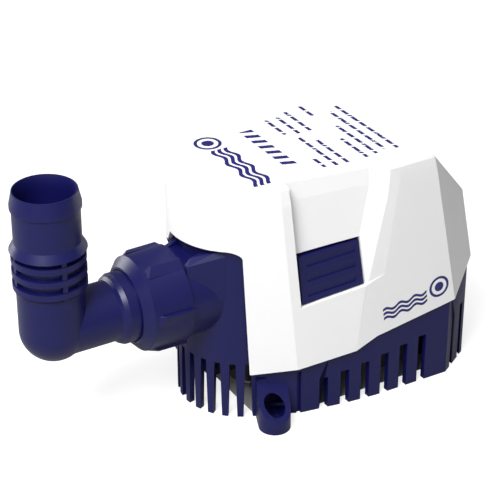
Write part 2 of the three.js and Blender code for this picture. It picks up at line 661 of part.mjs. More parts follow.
function motorEndCap() {
  const inner = MOTOR.r - MOTOR.wall - GAP;
  const plug = pump(rod(inner, 85.5, 90.4), MEDIUM);
  const hub = pump(rod(6.8, 84.6, 92.6), COARSE);
  const holders = [1, -1].map((side) => cut(
    box([PUMP_X - 3.6, side > 0 ? 5 : -14, 77.6], [PUMP_X + 3.6, side > 0 ? 14 : -5, 86]),
    box([PUMP_X - 2.3, side > 0 ? 4 : -15, 78.9], [PUMP_X + 2.3, side > 0 ? 15 : -4, 83.1])));
  return cut(join(plug, hub, ...holders),
    pump(rod(4.8, 86.4, 91.2), COARSE), pump(rod(SHAFT_R + 0.6, 80, 91.5), COARSE),
    pump(rod(2.6, 90, 95), COARSE));
}

const MAGNET = { outer: 16.2, inner: 13.4, low: 45, top: 73 };

function magnet() {
  const outer = arc(PUMP_X, 0, MAGNET.outer, 20, 160, 10);
  const inner = arc(PUMP_X, 0, MAGNET.inner, 160, 20, 10);
  return prismZ([...outer, ...inner], MAGNET.low, MAGNET.top);
}

function armatureCore() {
  const slots = Array.from({ length: CORE.teeth }, (_, i) => {
    const angle = (360 / CORE.teeth) * (i + 0.5);
    const pocket = prismZ(arc(CORE.slotAt, 0, CORE.slotR, 0, 315, 7), CORE.low - 1, CORE.top + 1);
    const mouth = box([8, -0.7, CORE.low - 1], [14, 0.7, CORE.top + 1]);
    return join(pocket, mouth).rotate([0, 0, angle]).translate([PUMP_X, 0, 0]);
  });
  return cut(pump(tube(CORE.r, SHAFT_R + 0.1, CORE.low, CORE.top), MEDIUM), ...slots);
}

function armatureWindings() {
  const bars = Array.from({ length: CORE.teeth }, (_, i) => {
    const angle = (360 / CORE.teeth) * (i + 0.5);
    return prismZ(arc(CORE.slotAt, 0, CORE.wireR, 0, 315, 7), CORE.low - 3, CORE.top + 3)
      .rotate([0, 0, angle]).translate([PUMP_X, 0, 0]);
  });
  const ends = [[CORE.low - 4.5, CORE.low - GAP], [CORE.top + GAP, CORE.top + 4.5]].map(([low, high]) =>
    pump([[4.6, low + 1], [6, low], [10, low], [11.6, low + 1.4], [11.6, high - 1], [10.6, high],
      [4.6, high], [4.6, low + 1]], MEDIUM));
  return join(...bars, ...ends);
}

function commutator() {
  const slits = Array.from({ length: CORE.teeth }, (_, i) => box(
    [COMMUTATOR.r - 0.7, -0.2, COMMUTATOR.low + 1], [COMMUTATOR.r + 1, 0.2, COMMUTATOR.top + 1])
    .rotate([0, 0, (360 / CORE.teeth) * i]).translate([PUMP_X, 0, 0]));
  return cut(pump(tube(COMMUTATOR.r, SHAFT_R + 0.1, COMMUTATOR.low, COMMUTATOR.top), 14), ...slits);
}

// A brush on the +Y side of the commutator, and the leaf spring that presses on it.
function brush() {
  return box([PUMP_X - 2, COMMUTATOR.r + GAP, 79.2], [PUMP_X + 2, 11.5, 82.8]);
}

function brushSpring() {
  const strip = [[11.8, 79.4], [12.3, 79.4], [12.3, 82], [15.1, 82.4], [15.1, 85.2], [14.6, 85.2],
    [14.6, 82.9], [11.8, 82.5]];
  return prismX(strip, PUMP_X - 1.7, PUMP_X + 1.7);
}

// ---------------------------------------------------------------- motor housing

const HOUSING = {
  low: 34.35, floor: 37, r: 22, bore: 20, top: 96.5,
  lugLow: 91, lugHigh: 94.6, lugHalf: 3.4,
};

function motorHousing() {
  const { low, floor, r, bore, top, lugLow, lugHigh, lugHalf } = HOUSING;
  const cup = pump([[8, low], [DECK_R - 1, low], [DECK_R - 1, low + 2.4], [r, low + 4.4], [r, top],
    [bore, top], [bore, floor], [8, floor], [8, low]], MEDIUM);
  const lugs = POSTS.map((angle) => {
    const [x, y] = postAt(angle);
    return hull([lugLow, lugHigh].flatMap((z) => [
      ...[[-1, -1], [1, -1], [-1, 1], [1, 1]].map(([i, j]) => [x + i * lugHalf, y + j * lugHalf, z]),
      ...[-8, 8].map((spread) => [PUMP_X + (r - 1.4) * Math.cos(degrees(angle + spread)),
        (r - 1.4) * Math.sin(degrees(angle + spread)), z]),
    ]));
  });
  const clear = pump(rod(bore, floor, top + 1), MEDIUM);
  const holes = POSTS.map((angle) => turned(rod(1.5, 80, 100), ...postAt(angle), ROUGH));
  return cut(join(cup, ...lugs.map((lug) => cut(lug, clear))), ...holes);
}

function motorHousingCap() {
  const { r, bore, top } = HOUSING;
  const lid = pump([[0, top + GAP], [r, top + GAP], [r, top + 2.6], [0, top + 2.6]], MEDIUM);
  const plug = pump(tube(bore - GAP, bore - 2.3, top - 2.5, top + 1), MEDIUM);
  const wires = turned(rod(2.2, top - 5, top + 5), PUMP_X + 12, 0, 12);
  return cut(join(lid, plug), wires);
}

function sealRing() {
  return pump(arc(SEAL_RING.r, DECK_TOP - 0.7, SEAL_RING.section, 0, 360, 8), MEDIUM);
}

// ---------------------------------------------------------------- check valve

const FLAP = { x: -27.6, pivotZ: 67.4, r: 9.6, pinR: 0.7, drop: 0.5, seatBore: 7 };

function valveSeat() {
  const ring = turnedX(rod(PORT_BORE - 0.4, -26.6, -23.2), MEDIUM);
  const bore = turnedX(rod(FLAP.seatBore, -30, -20), MEDIUM, 0, AXIS_Z - FLAP.drop);
  const ears = [1, -1].map((side) => box(
    [-29, side > 0 ? 2.6 : -4.2, FLAP.pivotZ - 1.2], [-26, side > 0 ? 4.2 : -2.6, FLAP.pivotZ + 1.1]));
  const pinHole = prismY(arc(FLAP.x, FLAP.pivotZ, FLAP.pinR + 0.05, 0, 330, 11), -6, 6);
  const eyeWay = box([-27, -2.6, FLAP.pivotZ - 2.2], [-25.6, 2.6, 72]);
  return cut(join(ring, ...ears), bore, pinHole, eyeWay);
}

function checkValveFlap() {
  const disc = turnedX(rod(FLAP.r, -28.6, -26.9), MEDIUM, 0, AXIS_Z - FLAP.drop);
  const eye = prismY(arc(FLAP.x, FLAP.pivotZ, 1.7, 0, 330, 11), -2.3, 2.3);
  const clear = box([-40, -20, FLAP.pivotZ - 2], [0, -2.3, 90]);
  const pinHole = prismY(arc(FLAP.x, FLAP.pivotZ, FLAP.pinR + 0.12, 0, 330, 11), -6, 6);
  return cut(join(cut(disc, clear, mirrored(clear)), eye), pinHole);
}

function flapPin() {
  return prismY(arc(FLAP.x, FLAP.pivotZ, FLAP.pinR, 0, 330, 11), -4.2, 4.2);
}

// ---------------------------------------------------------------- union nut and elbow

const FLANGE = { r: 18.4, front: -54.5, face: PORT_END - 2.4 };
const COLLAR_R = 15.9;
const MOUTH_R = 16.3;

function outletGasket() {
  return turnedX(tube(18.2, PORT_BORE, PORT_END - 2.1, PORT_END - GAP), FINE);
}

// Grip ribs: each has a steep step on one side of its tip and a ramp on the other.
const RIBS = {
  count: 6, first: 50.5, steepFoot: 1.6, tip: 1.4, tipFront: 1.2, rampEnd: 5.5,
  straight: -49, end: -52,
};

function unionNut() {
  const front = -53.6;
  const body = turnedX([[PORT_R + 0.3, NUT_REAR], [NUT_R, NUT_REAR], [NUT_R - 0.5, front],
    [MOUTH_R + 1, NUT_FRONT], [MOUTH_R, NUT_FRONT], [MOUTH_R, FLANGE.front - GAP],
    [PORT_R + 0.3, FLANGE.front - GAP], [PORT_R + 0.3, NUT_REAR]], FINE);
  const ribs = Array.from({ length: RIBS.count }, (_, i) => {
    const section = (x, lift) => [[x, NUT_R - RIBS.steepFoot, -0.4], [x, NUT_R + lift, 0.3],
      [x, NUT_R + lift, 0.9], [x, NUT_R - 0.8, RIBS.rampEnd]];
    const rib = hull([...section(NUT_REAR - 0.01, RIBS.tip), ...section(RIBS.straight, RIBS.tipFront),
      ...section(RIBS.end, -0.6)]);
    return rib.rotate([RIBS.first + i * (360 / RIBS.count), 0, 0]).translate([0, 0, AXIS_Z]);
  });
  const bore = turnedX(rod(PORT_R + 0.3, -54, -30), FINE);
  return join(body, ...ribs.map((rib) => cut(rib, bore)));
}

function elbow() {
  const z = AXIS_Z;
  const domed = arc(0, z, LEG_R, -90, 0, 7).map(([r, height]) => [Math.max(r, 0), height]);
  domed[0][0] = 0;
  const ring = (low) => [[13.7, low], [15.8, low], [15.8, low + 2.8], [13.7, low + 2.8]];
  const barb = turned([...domed, [LEG_R - 0.1, 78.4], ...ring(79.8), ...ring(85.9), ...ring(92),
    [13.7, 96.9], [16.4, 97.2], [BARB_NECK, 101], [BARB_NECK, 115.7], [15, 116.3], [15, 118.2],
    [13.7, BARB_TOP], [0, BARB_TOP]], ELBOW_X, 0, FINE);
  const ribs = [0, 90, 180, 270].map((angle) => box([12, -1.1, 79], [15.4, 1.1, 97])
    .rotate([0, 0, angle]).translate([ELBOW_X, 0, 0]));
  const tail = turnedX([[0, ELBOW_X], [PIPE_R, ELBOW_X], [PIPE_R, -65.4], [14.9, -64.2],
    [COLLAR_R, -62.2], [COLLAR_R, FLANGE.front], [FLANGE.r, FLANGE.front], [FLANGE.r, FLANGE.face],
    [0, FLANGE.face]], FINE);
  const rising = turned([...arc(0, z, ELBOW_BORE, -90, 0, 5).map(([r, height]) => [Math.max(r, 0), height]),
    [ELBOW_BORE, BARB_TOP - 6], [13.2, BARB_TOP], [13.2, BARB_TOP + 1], [0, BARB_TOP + 1]],
    ELBOW_X, 0, MEDIUM);
  const along = turnedX(rod(ELBOW_BORE, ELBOW_X, -40), MEDIUM);
  return cut(join(barb, tail, ...ribs), rising, along);
}

// ---------------------------------------------------------------- float and switch

const FLOAT = { front: 56, back: 91, half: 29, corner: 9, low: 4.5, top: 24, armInner: 12.6, armOuter: 16.4 };
const FLOAT_MAGNET = { x: 65, r: 3, low: 19.8 };

function float() {
  const { x, z, r } = FLOAT_PIN;
  const { front, back, half, corner, low, top, armInner, armOuter } = FLOAT;
  const outline = wholeOutline([[back, half - corner], [back - corner, half], [front, half]]);
  const block = prismZ(outline, low, top);
  const arm = prismY([...arc(x, z, 3.6, 60, 240, 8), [61, 15], [65, top]], armInner, armOuter);
  const pocket = turned(rod(FLOAT_MAGNET.r + GAP, FLOAT_MAGNET.low - GAP, 30), FLOAT_MAGNET.x, 0, COARSE);
  const hole = prismY(arc(x, z, r + 0.12, 0, 337.5, 15), -20, 20);
  return cut(join(block, both(arm)), pocket, hole);
}

const floatPin = () => prismY(arc(FLOAT_PIN.x, FLOAT_PIN.z, FLOAT_PIN.r, 0, 337.5, 15), -21, 21);
const floatMagnet = () =>
  turned(rod(FLOAT_MAGNET.r, FLOAT_MAGNET.low, FLOAT.top), FLOAT_MAGNET.x, 0, COARSE);

const SWITCH = { front: 43, back: 69, half: 20.6, low: 39.4, top: 52, wall: 1.8 };

function switchHousing() {
  const { front, back, half, low, top, wall } = SWITCH;
  const shell = cut(box([front, -half, low], [back, half, top]),
    box([front + wall, -half + wall, low + wall], [back - wall, half - wall, top + 1]));
  const ear = box([47.5, 17, 29], [56.5, half, low + 1]);
  const hole = prismY(arc(FLOAT_PIN.x, FLOAT_PIN.z, FLOAT_PIN.r + 0.05, 0, 337.5, 15), -30, 30);
  return cut(join(shell, both(ear)), hole);
}

function switchLid() {
  const { front, back, half, top } = SWITCH;
  const wires = turned(rod(2, top - 1, top + 5), 48, 0, 12);
  return cut(box([front, -half, top + GAP], [back, half, top + 2.2]), wires);
}

const reedSwitch = () => prismY(arc(FLOAT_MAGNET.x, 42.9, 1.3, 0, 330, 11), -9, 9);
const switchBoard = () => box([46, -17, 45.5], [67, 17, 47.1]);

// ---------------------------------------------------------------- cable grommet

function cableGrommet() {
  const { hole, bore, tilt, z } = GROMMET;
  const outer = hole + 2;
  const profile = [[bore, -3.9], [outer - 0.6, -3.9], [outer, -3.3], [outer, -2.5], [hole - GAP, -2.5],
    [hole - GAP, GAP], [outer, GAP], [outer - 0.4, 1], [hole, 1.4], [bore, 1.4], [bore, -3.9]];
  return turnedX(profile, MEDIUM, 0, 0).rotate([0, -tilt, 0]).translate([grommetX, 0, z]);
}

// ---------------------------------------------------------------- assembly

add('top_cover', topCover(), 'white');
add('strainer_base', strainerBase(), 'navy');
add('release_tab_near', mirrored(releaseTab()), 'navy');
add('release_tab_far', releaseTab(), 'navy');
add('volute_housing', voluteHousing(), 'black');
add('inlet_plate', inletPlate(), 'black');
SCREW_ANGLES.forEach((angle, i) => {
  const [x, y] = lugAt(angle);
  add(`inlet_plate_screw_${i + 1}`, screw(x, y, INLET.low - 0.05, INLET.low + 10, 2.6, 1.2), 'steel');
});
add('impeller', impeller(), 'black');
add('impeller_nut', impellerNut(), 'brass');
add('motor_shaft', pump(rod(SHAFT_R, SHAFT_LOW, SHAFT_TOP), COARSE), 'steel');
add('shaft_seal', pump(tube(6, SHAFT_R + 0.15, 30.3, 33.6), COARSE), 'rubber');
add('lower_bearing', pump(tube(4.8, SHAFT_R + RUNNING_GAP, 36.1, 40.6), COARSE), 'brass');
add('upper_bearing', pump(tube(4.6, SHAFT_R + RUNNING_GAP, 86.6, 90.9), COARSE), 'brass');
add('motor_can', motorCan(), 'can');
add('motor_end_cap', motorEndCap(), 'black');
add('magnet_near', mirrored(magnet()), 'magnet');
add('magnet_far', magnet(), 'magnet');
add('armature_core', armatureCore(), 'lamination');
add('armature_windings', armatureWindings(), 'copper');
add('commutator', commutator(), 'copper');
add('brush_near', mirrored(brush()), 'carbon');
add('brush_far', brush(), 'carbon');
add('brush_spring_near', mirrored(brushSpring()), 'steel');
add('brush_spring_far', brushSpring(), 'steel');
add('motor_housing', motorHousing(), 'black');
add('motor_housing_cap', motorHousingCap(), 'black');
add('motor_housing_seal', sealRing(), 'rubber');
POSTS.forEach((angle, i) => {
  const [x, y] = postAt(angle);
  add(`cover_screw_${i + 1}`, screw(x, y, 90.95, 101, 2.9, 1.05), 'steel');
});
add('valve_seat', valveSeat(), 'black');
add('check_valve_flap', checkValveFlap(), 'rubber');
add('flap_pin', flapPin(), 'steel');
add('outlet_gasket', outletGasket(), 'rubber');
add('union_nut', unionNut(), 'navy');
add('discharge_elbow', elbow(), 'navy');
add('float', float(), 'foam');
add('float_pin', floatPin(), 'steel');
add('float_magnet', floatMagnet(), 'magnet');
add('switch_housing', switchHousing(), 'black');
add('switch_lid', switchLid(), 'black');
add('reed_switch', reedSwitch(), 'glass');
add('switch_board', switchBoard(), 'board');
add('cable_grommet', cableGrommet(), 'rubber');

export default pumpGroup;
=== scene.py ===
# Looks of an automatic bilge pump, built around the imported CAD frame. +Z is up.
# Pieces are modelled in millimetres and scaled to metres when they are finished.
# The camera, the lights and the floor are placed in metres.
import json
import math

import bmesh
import bpy
from mathutils import Matrix, Vector


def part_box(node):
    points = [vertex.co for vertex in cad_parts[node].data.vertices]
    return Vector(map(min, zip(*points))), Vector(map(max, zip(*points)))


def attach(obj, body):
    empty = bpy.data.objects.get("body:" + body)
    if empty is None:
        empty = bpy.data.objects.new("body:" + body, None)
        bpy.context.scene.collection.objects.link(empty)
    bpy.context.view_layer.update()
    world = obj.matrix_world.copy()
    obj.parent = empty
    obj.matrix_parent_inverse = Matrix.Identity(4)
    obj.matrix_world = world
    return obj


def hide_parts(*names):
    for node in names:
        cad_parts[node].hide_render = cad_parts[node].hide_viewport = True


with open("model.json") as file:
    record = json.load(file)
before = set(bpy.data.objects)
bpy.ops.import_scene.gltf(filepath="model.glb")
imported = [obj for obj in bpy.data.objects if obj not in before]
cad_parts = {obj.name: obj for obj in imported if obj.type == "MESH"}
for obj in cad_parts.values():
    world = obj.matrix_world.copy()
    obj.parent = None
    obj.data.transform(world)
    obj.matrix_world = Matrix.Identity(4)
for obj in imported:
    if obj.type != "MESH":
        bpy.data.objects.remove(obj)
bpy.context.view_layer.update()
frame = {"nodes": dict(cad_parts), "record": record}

MM = 0.001


def box_mm(node):
    """The lowest and highest corners of a CAD node, in millimetres."""
    low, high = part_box(node)
    return low / MM, high / MM


# ---------------------------------------------------------------- driving dimensions, millimetres

BODY_TOP = box_mm("top_cover")[1].z
COVER_WALL = 2.0
COVER_EDGE = 0.8
NOSE_X = -2.35
NOSE_R = 30.5
FLANK_ANGLE = 25.3
FLANK_END_TOP = -0.75
FLANK_END_LOW = 7.2
FLANK_LOW_Z = 25.0
BAND_Z = 106.5
BAND_LEAN = 0.55
REAR_KINK_Z = 85.0

AXIS_Z = 58.3
ON_AXIS = (0, 0, AXIS_Z)
PORT_END = box_mm("volute_housing")[0].x
PORT_R = 18.6
FLANGE_FRONT = -54.5

ELBOW_X = -91.65
BARB_TOP = box_mm("discharge_elbow")[1].z
BARB_NECK = 14.3
PIPE_R = 13.5
LEG_R = 14.6
ELBOW_BORE = 11.3

NUT_FRONT = box_mm("union_nut")[0].x
NUT_REAR = box_mm("union_nut")[1].x
NUT_R = 21.9

BASE_NOSE_R = 29.0
BASE_WALL = 4.7
TOOTH_DEPTH = 2.8
TEETH_LOWER = 3.0
NOSE_WALL = 2.4
NOSE_WALL_TOP = 88.0
SPIGOT_INSET = 2.7
SPIGOT_RISE = 5.0
SEAM_GAP = 0.4

GAP = 0.3

FINE = 128
MERGE = 1e-4
FLAT_ANGLE = 0.0017
SMOOTH_ANGLE = math.radians(32)
# The cover's facets meet at a few degrees and read as flat, so its edges count as sharp sooner.
COVER_SMOOTH = math.radians(3.8)


# ---------------------------------------------------------------- mesh helpers

def new_object(name, bm):
    mesh = bpy.data.meshes.new(name)
    bm.to_mesh(mesh)
    bm.free()
    piece = bpy.data.objects.new(name, mesh)
    bpy.context.scene.collection.objects.link(piece)
    return piece


def tidy_mesh(bm):
    """Joins the triangles of each flat face and turns all faces outwards."""
    bmesh.ops.remove_doubles(bm, verts=bm.verts, dist=MERGE)
    bmesh.ops.dissolve_limit(bm, angle_limit=FLAT_ANGLE, verts=bm.verts, edges=bm.edges)
    bmesh.ops.recalc_face_normals(bm, faces=bm.faces)


def hull(points):
    """The smallest convex solid that holds the points."""
    bm = bmesh.new()
    for point in points:
        bm.verts.new(point)
    bmesh.ops.remove_doubles(bm, verts=bm.verts, dist=MERGE)
    bmesh.ops.convex_hull(bm, input=bm.verts)
    loose = [v for v in bm.verts if not v.link_faces]
    bmesh.ops.delete(bm, geom=loose, context="VERTS")
    tidy_mesh(bm)
    return new_object("hull", bm)


PLANES = {
    "Z": Matrix(((1, 0, 0, 0), (0, 1, 0, 0), (0, 0, 1, 0), (0, 0, 0, 1))),
    "X": Matrix(((0, 0, 1, 0), (1, 0, 0, 0), (0, 1, 0, 0), (0, 0, 0, 1))),
    "Y": Matrix(((1, 0, 0, 0), (0, 0, 1, 0), (0, 1, 0, 0), (0, 0, 0, 1))),
}


def prism(outline, low, high, axis="Z"):
    """An outline pulled along an axis. It is drawn in XY for Z, in YZ for X, and in XZ for Y."""
    bm = bmesh.new()
    rows = [[bm.verts.new((u, v, w)) for u, v in outline] for w in (low, high)]
    bm.faces.new(rows[0])
    bm.faces.new(rows[1])
    count = len(outline)
    for i in range(count):
        j = (i + 1) % count
        bm.faces.new((rows[0][i], rows[0][j], rows[1][j], rows[1][i]))
    bm.transform(PLANES[axis])
    tidy_mesh(bm)
    return new_object("prism", bm)


def box(low, high):
    outline = [(low[0], low[1]), (high[0], low[1]), (high[0], high[1]), (low[0], high[1])]
    return prism(outline, low[2], high[2])


def turned(profile, place=(0, 0, 0), axis="Z", facets=FINE):
    """A closed profile of (radius, height) points turned about an axis through a place."""
    bm = bmesh.new()
    rings = []
    for radius, height in profile:
        if radius < 1e-6:
            rings.append([bm.verts.new((0, 0, height))] * facets)
            continue
        angles = (math.tau * i / facets for i in range(facets))
        rings.append([bm.verts.new((radius * math.cos(a), radius * math.sin(a), height)) for a in angles])
    closed = profile[0][0] > 1e-6
    pairs = list(zip(rings, rings[1:] + (rings[:1] if closed else [])))
    for low, high in pairs:
        for i in range(facets):
            j = (i + 1) % facets
            corners = list(dict.fromkeys((low[i], low[j], high[j], high[i])))
            if len(corners) > 2:
                bm.faces.new(corners)
    bm.transform(Matrix.Translation(place) @ PLANES[axis])
    bmesh.ops.recalc_face_normals(bm, faces=bm.faces)
    return new_object("turned", bm)


def rod(radius, low, high):
    """The profile of a plain cylinder."""
    return [(0, low), (radius, low), (radius, high), (0, high)]


def settle(piece):
    """Applies a piece's modifiers."""
    bpy.context.view_layer.update()
    graph = bpy.context.evaluated_depsgraph_get()
    mesh = bpy.data.meshes.new_from_object(piece.evaluated_get(graph))
    old = piece.data
    piece.modifiers.clear()
    piece.data = mesh
    bpy.data.meshes.remove(old)


def boolean(piece, tools, operation):
    for tool in tools:
        step = piece.modifiers.new("step", "BOOLEAN")
        step.operation = operation
        step.solver = "EXACT"
        step.object = tool
        settle(piece)
        bpy.data.objects.remove(tool)
    return piece


def cut(piece, *tools):
    return boolean(piece, tools, "DIFFERENCE")


def join(piece, *tools):
    return boolean(piece, tools, "UNION")


def common(piece, tool):
    return boolean(piece, [tool], "INTERSECT")


def copy_of(piece, matrix=None):
    twin = piece.copy()
    twin.data = piece.data.copy()
    bpy.context.scene.collection.objects.link(twin)
    if matrix is not None:
        twin.data.transform(matrix)
        if matrix.determinant() < 0:
            twin.data.flip_normals()
    return twin


ACROSS = Matrix.Scale(-1, 4, (0, 1, 0))


def both(piece):
    """A piece and its mirror image across the middle plane."""
    return [piece, copy_of(piece, ACROSS)]


def arc(cx, cy, r, start, end, steps):
    """Points along an arc, between two angles in degrees."""
    angles = (math.radians(start + (end - start) * i / steps) for i in range(steps + 1))
    return [(cx + r * math.cos(a), cy + r * math.sin(a)) for a in angles]


def mix(a, b, t):
    return a + (b - a) * t


def inset(outline, distance):
    """A closed outline moved inwards by a distance, corner by corner."""
    count = len(outline)
    area = sum(outline[i][0] * outline[(i + 1) % count][1] - outline[(i + 1) % count][0] * outline[i][1]
               for i in range(count))
    side = math.copysign(distance, area)
    moved = []
    for i, point in enumerate(outline):
        before = Vector(outline[i - 1])
        after = Vector(outline[(i + 1) % count])
        first = (Vector(point) - before).normalized()
        second = (after - Vector(point)).normalized()
        normal = Vector((-first.y - second.y, first.x + second.x)).normalized()
        reach = side / (normal.x * -first.y + normal.y * first.x)
        moved.append((point[0] + normal.x * reach, point[1] + normal.y * reach))
    return moved


def whole_outline(half):
    """Half an outline on the +Y side, closed by its mirror image."""
    return half + [(x, -y) for x, y in reversed(half) if y > 1e-6]


def soften(piece, width, angle=24.0, segments=3):
    """Rounds a piece's edges that are sharper than the angle."""
    bm = bmesh.new()
    bm.from_mesh(piece.data)
    tidy_mesh(bm)
    bm.to_mesh(piece.data)
    bm.free()
    bevel = piece.modifiers.new("bevel", "BEVEL")
    bevel.width = width
    bevel.segments = segments
    bevel.limit_method = "ANGLE"
    bevel.angle_limit = math.radians(angle)
    bevel.use_clamp_overlap = True
    bevel.miter_outer = "MITER_ARC"
    settle(piece)
    return piece


def finish(piece, name, body, slot, replaces, smooth=SMOOTH_ANGLE):
    """Scales a piece to metres, shades it, gives it its slot's material and its body, and hides the nodes
    it replaces.
    """
    piece.name = name
    piece.data.name = name
    piece.data.transform(Matrix.Scale(MM, 4))
    piece.data.shade_smooth()
    piece.data.set_sharp_from_angle(angle=smooth)
    weigh = piece.modifiers.new("normals", "WEIGHTED_NORMAL")
    weigh.keep_sharp = True
    piece.data.materials.clear()
    piece.data.materials.append(MATERIALS[slot])
    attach(piece, body)
    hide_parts(*replaces)
    return piece


# ---------------------------------------------------------------- materials

def node_tree(name):
    material = bpy.data.materials.new(name)
    material.use_nodes = True
    tree = material.node_tree
    return material, tree, tree.nodes["Principled BSDF"]


def put(tree, kind, **values):
    """A new node, with its settings and input values given by name."""
    node = tree.nodes.new(kind)
    for key, value in values.items():
        if hasattr(node, key):
            setattr(node, key, value)
        else:
            node.inputs[key.replace("_", " ")].default_value = value
    return node


def moulded(name, color, deep, roughness, speckle=0.04, grain=900.0, bump=0.02, specular=0.5):
    """Moulded plastic: a faint flow mottling, a fine sparked grain and a slightly uneven gloss."""
    material, tree, shader = node_tree(name)
    link = tree.links.new
    place = put(tree, "ShaderNodeTexCoord")
    flow = put(tree, "ShaderNodeTexNoise", Scale=22.0, Detail=4.0, Roughness=0.55)
    link(place.outputs["Object"], flow.inputs["Vector"])
    tint = put(tree, "ShaderNodeMix", data_type="RGBA")
    tint.inputs["A"].default_value = (*deep, 1)
    tint.inputs["B"].default_value = (*color, 1)
    link(flow.outputs["Fac"], tint.inputs["Factor"])
    link(tint.outputs["Result"], shader.inputs["Base Color"])
    fine = put(tree, "ShaderNodeTexNoise", Scale=grain, Detail=2.0, Roughness=0.6)
    link(place.outputs["Object"], fine.inputs["Vector"])
    gloss = put(tree, "ShaderNodeMapRange", To_Min=roughness - speckle, To_Max=roughness + speckle)
    link(flow.outputs["Fac"], gloss.inputs["Value"])
    link(gloss.outputs["Result"], shader.inputs["Roughness"])
    relief = put(tree, "ShaderNodeBump", Strength=bump, Distance=0.0002)
    link(fine.outputs["Fac"], relief.inputs["Height"])
    link(relief.outputs["Normal"], shader.inputs["Normal"])
    shader.inputs["Specular IOR Level"].default_value = specular
    return material


def metal(name, color, roughness, stretch=(1, 1, 12), scale=260.0):
    """Turned or drawn metal: fine marks along one direction over a slightly stained colour."""
    material, tree, shader = node_tree(name)
    link = tree.links.new
    place = put(tree, "ShaderNodeTexCoord")
    along = put(tree, "ShaderNodeMapping")
    along.inputs["Scale"].default_value = stretch
    link(place.outputs["Object"], along.inputs["Vector"])
    marks = put(tree, "ShaderNodeTexNoise", Scale=scale, Detail=5.0, Roughness=0.7)
    link(along.outputs["Vector"], marks.inputs["Vector"])
    stain = put(tree, "ShaderNodeTexNoise", Scale=40.0, Detail=3.0)
    link(place.outputs["Object"], stain.inputs["Vector"])
    tint = put(tree, "ShaderNodeMix", data_type="RGBA")
    tint.inputs["A"].default_value = (*[c * 0.72 for c in color], 1)
    tint.inputs["B"].default_value = (*color, 1)
    link(stain.outputs["Fac"], tint.inputs["Factor"])
    link(tint.outputs["Result"], shader.inputs["Base Color"])
    gloss = put(tree, "ShaderNodeMapRange", To_Min=roughness - 0.08, To_Max=roughness + 0.1)
    link(marks.outputs["Fac"], gloss.inputs["Value"])
    link(gloss.outputs["Result"], shader.inputs["Roughness"])
    relief = put(tree, "ShaderNodeBump", Strength=0.15, Distance=0.0001)
    link(marks.outputs["Fac"], relief.inputs["Height"])
    link(relief.outputs["Normal"], shader.inputs["Normal"])
    shader.inputs["Metallic"].default_value = 1.0
    return material


class Field:
    """A number worked out at each point of a surface by math nodes."""

    def __init__(self, tree, socket):
        self.tree = tree
        self.socket = socket

    def act(self, operation, *others):
        node = put(self.tree, "ShaderNodeMath", operation=operation)
        for slot, value in zip(node.inputs, (self, *others)):
            if isinstance(value, Field):
                self.tree.links.new(value.socket, slot)
            else:
                slot.default_value = value
        return Field(self.tree, node.outputs["Value"])

    def __add__(self, other):
        return self.act("ADD", other)

    def __sub__(self, other):
        return self.act("SUBTRACT", other)

    def __mul__(self, other):
        return self.act("MULTIPLY", other)

    def near(self, middle, half):
        """1 where the number is within half of the middle, else 0."""
        return (self - middle).act("ABSOLUTE").act("LESS_THAN", half)

    def within(self, low, high):
        return self.near((low + high) / 2, (high - low) / 2)


def waves(along, across, start, end, middle, height, pitch):
    """Three wavy lines, one above the other, between two ends."""
    swing = (along * (math.tau / pitch)).act("SINE") * (height * 0.11)
    lines = None
    for step in (-1, 0, 1):
        line = (across - swing).near(middle + step * height * 0.33, height * 0.1)
        lines = line if lines is None else lines.act("MAXIMUM", line)
    return lines * along.within(start, end)


def drop(along, across, at, middle, radius):
    """A ring with a dot in it."""
    dx = along - at
    dy = across - middle
    far = (dx * dx + dy * dy).act("SQRT")
    return far.near(radius * 0.88, radius * 0.12).act("MAXIMUM", far.act("LESS_THAN", radius * 0.45))


def dashes(along, across, rows, start, end, thick, dash):
    """Rows of plain dashes of uneven length."""
    first = (along * (1 / dash)).act("SINE")
    second = (along * (2.3 / dash) + across).act("SINE")
    broken = (first + second).act("GREATER_THAN", -0.9)
    lines = None
    for row, (low, high) in rows:
        line = across.near(row, thick) * along.within(max(low, start), min(high, end))
        lines = line if lines is None else lines.act("MAXIMUM", line)
    return lines * broken


PRINT_COLOR = (0.010, 0.008, 0.135, 1)
# The rows of dashes on the top: each row's x, and the y of its two ends.
TOP_ROWS = [(27.0, (-26, -16)), (32.5, (-27, 4)), (38.0, (-27, -2)),
            (29.0, (10, 27)), (35.0, (8, 27)), (41.0, (8, 30)),
            (48.0, (-27, -6)), (53.5, (-26, 6)), (59.0, (-24, 20)),
            (64.5, (-26, 24)), (50.0, (20, 32))]
TOP_DEPTH = 0.4
BARS_X = 15.5
BARS_HALF = 3.1
BARS_Y = (-17, 22)
BAR_LEAN = 0.35
BAR_PITCH = 6.0
BAR_GAP = 3.1
SIDE_SLOPE = math.radians(8.3)
SIDE_FROM_Y = 39.0
SIDE_BELOW_Z = 60.0


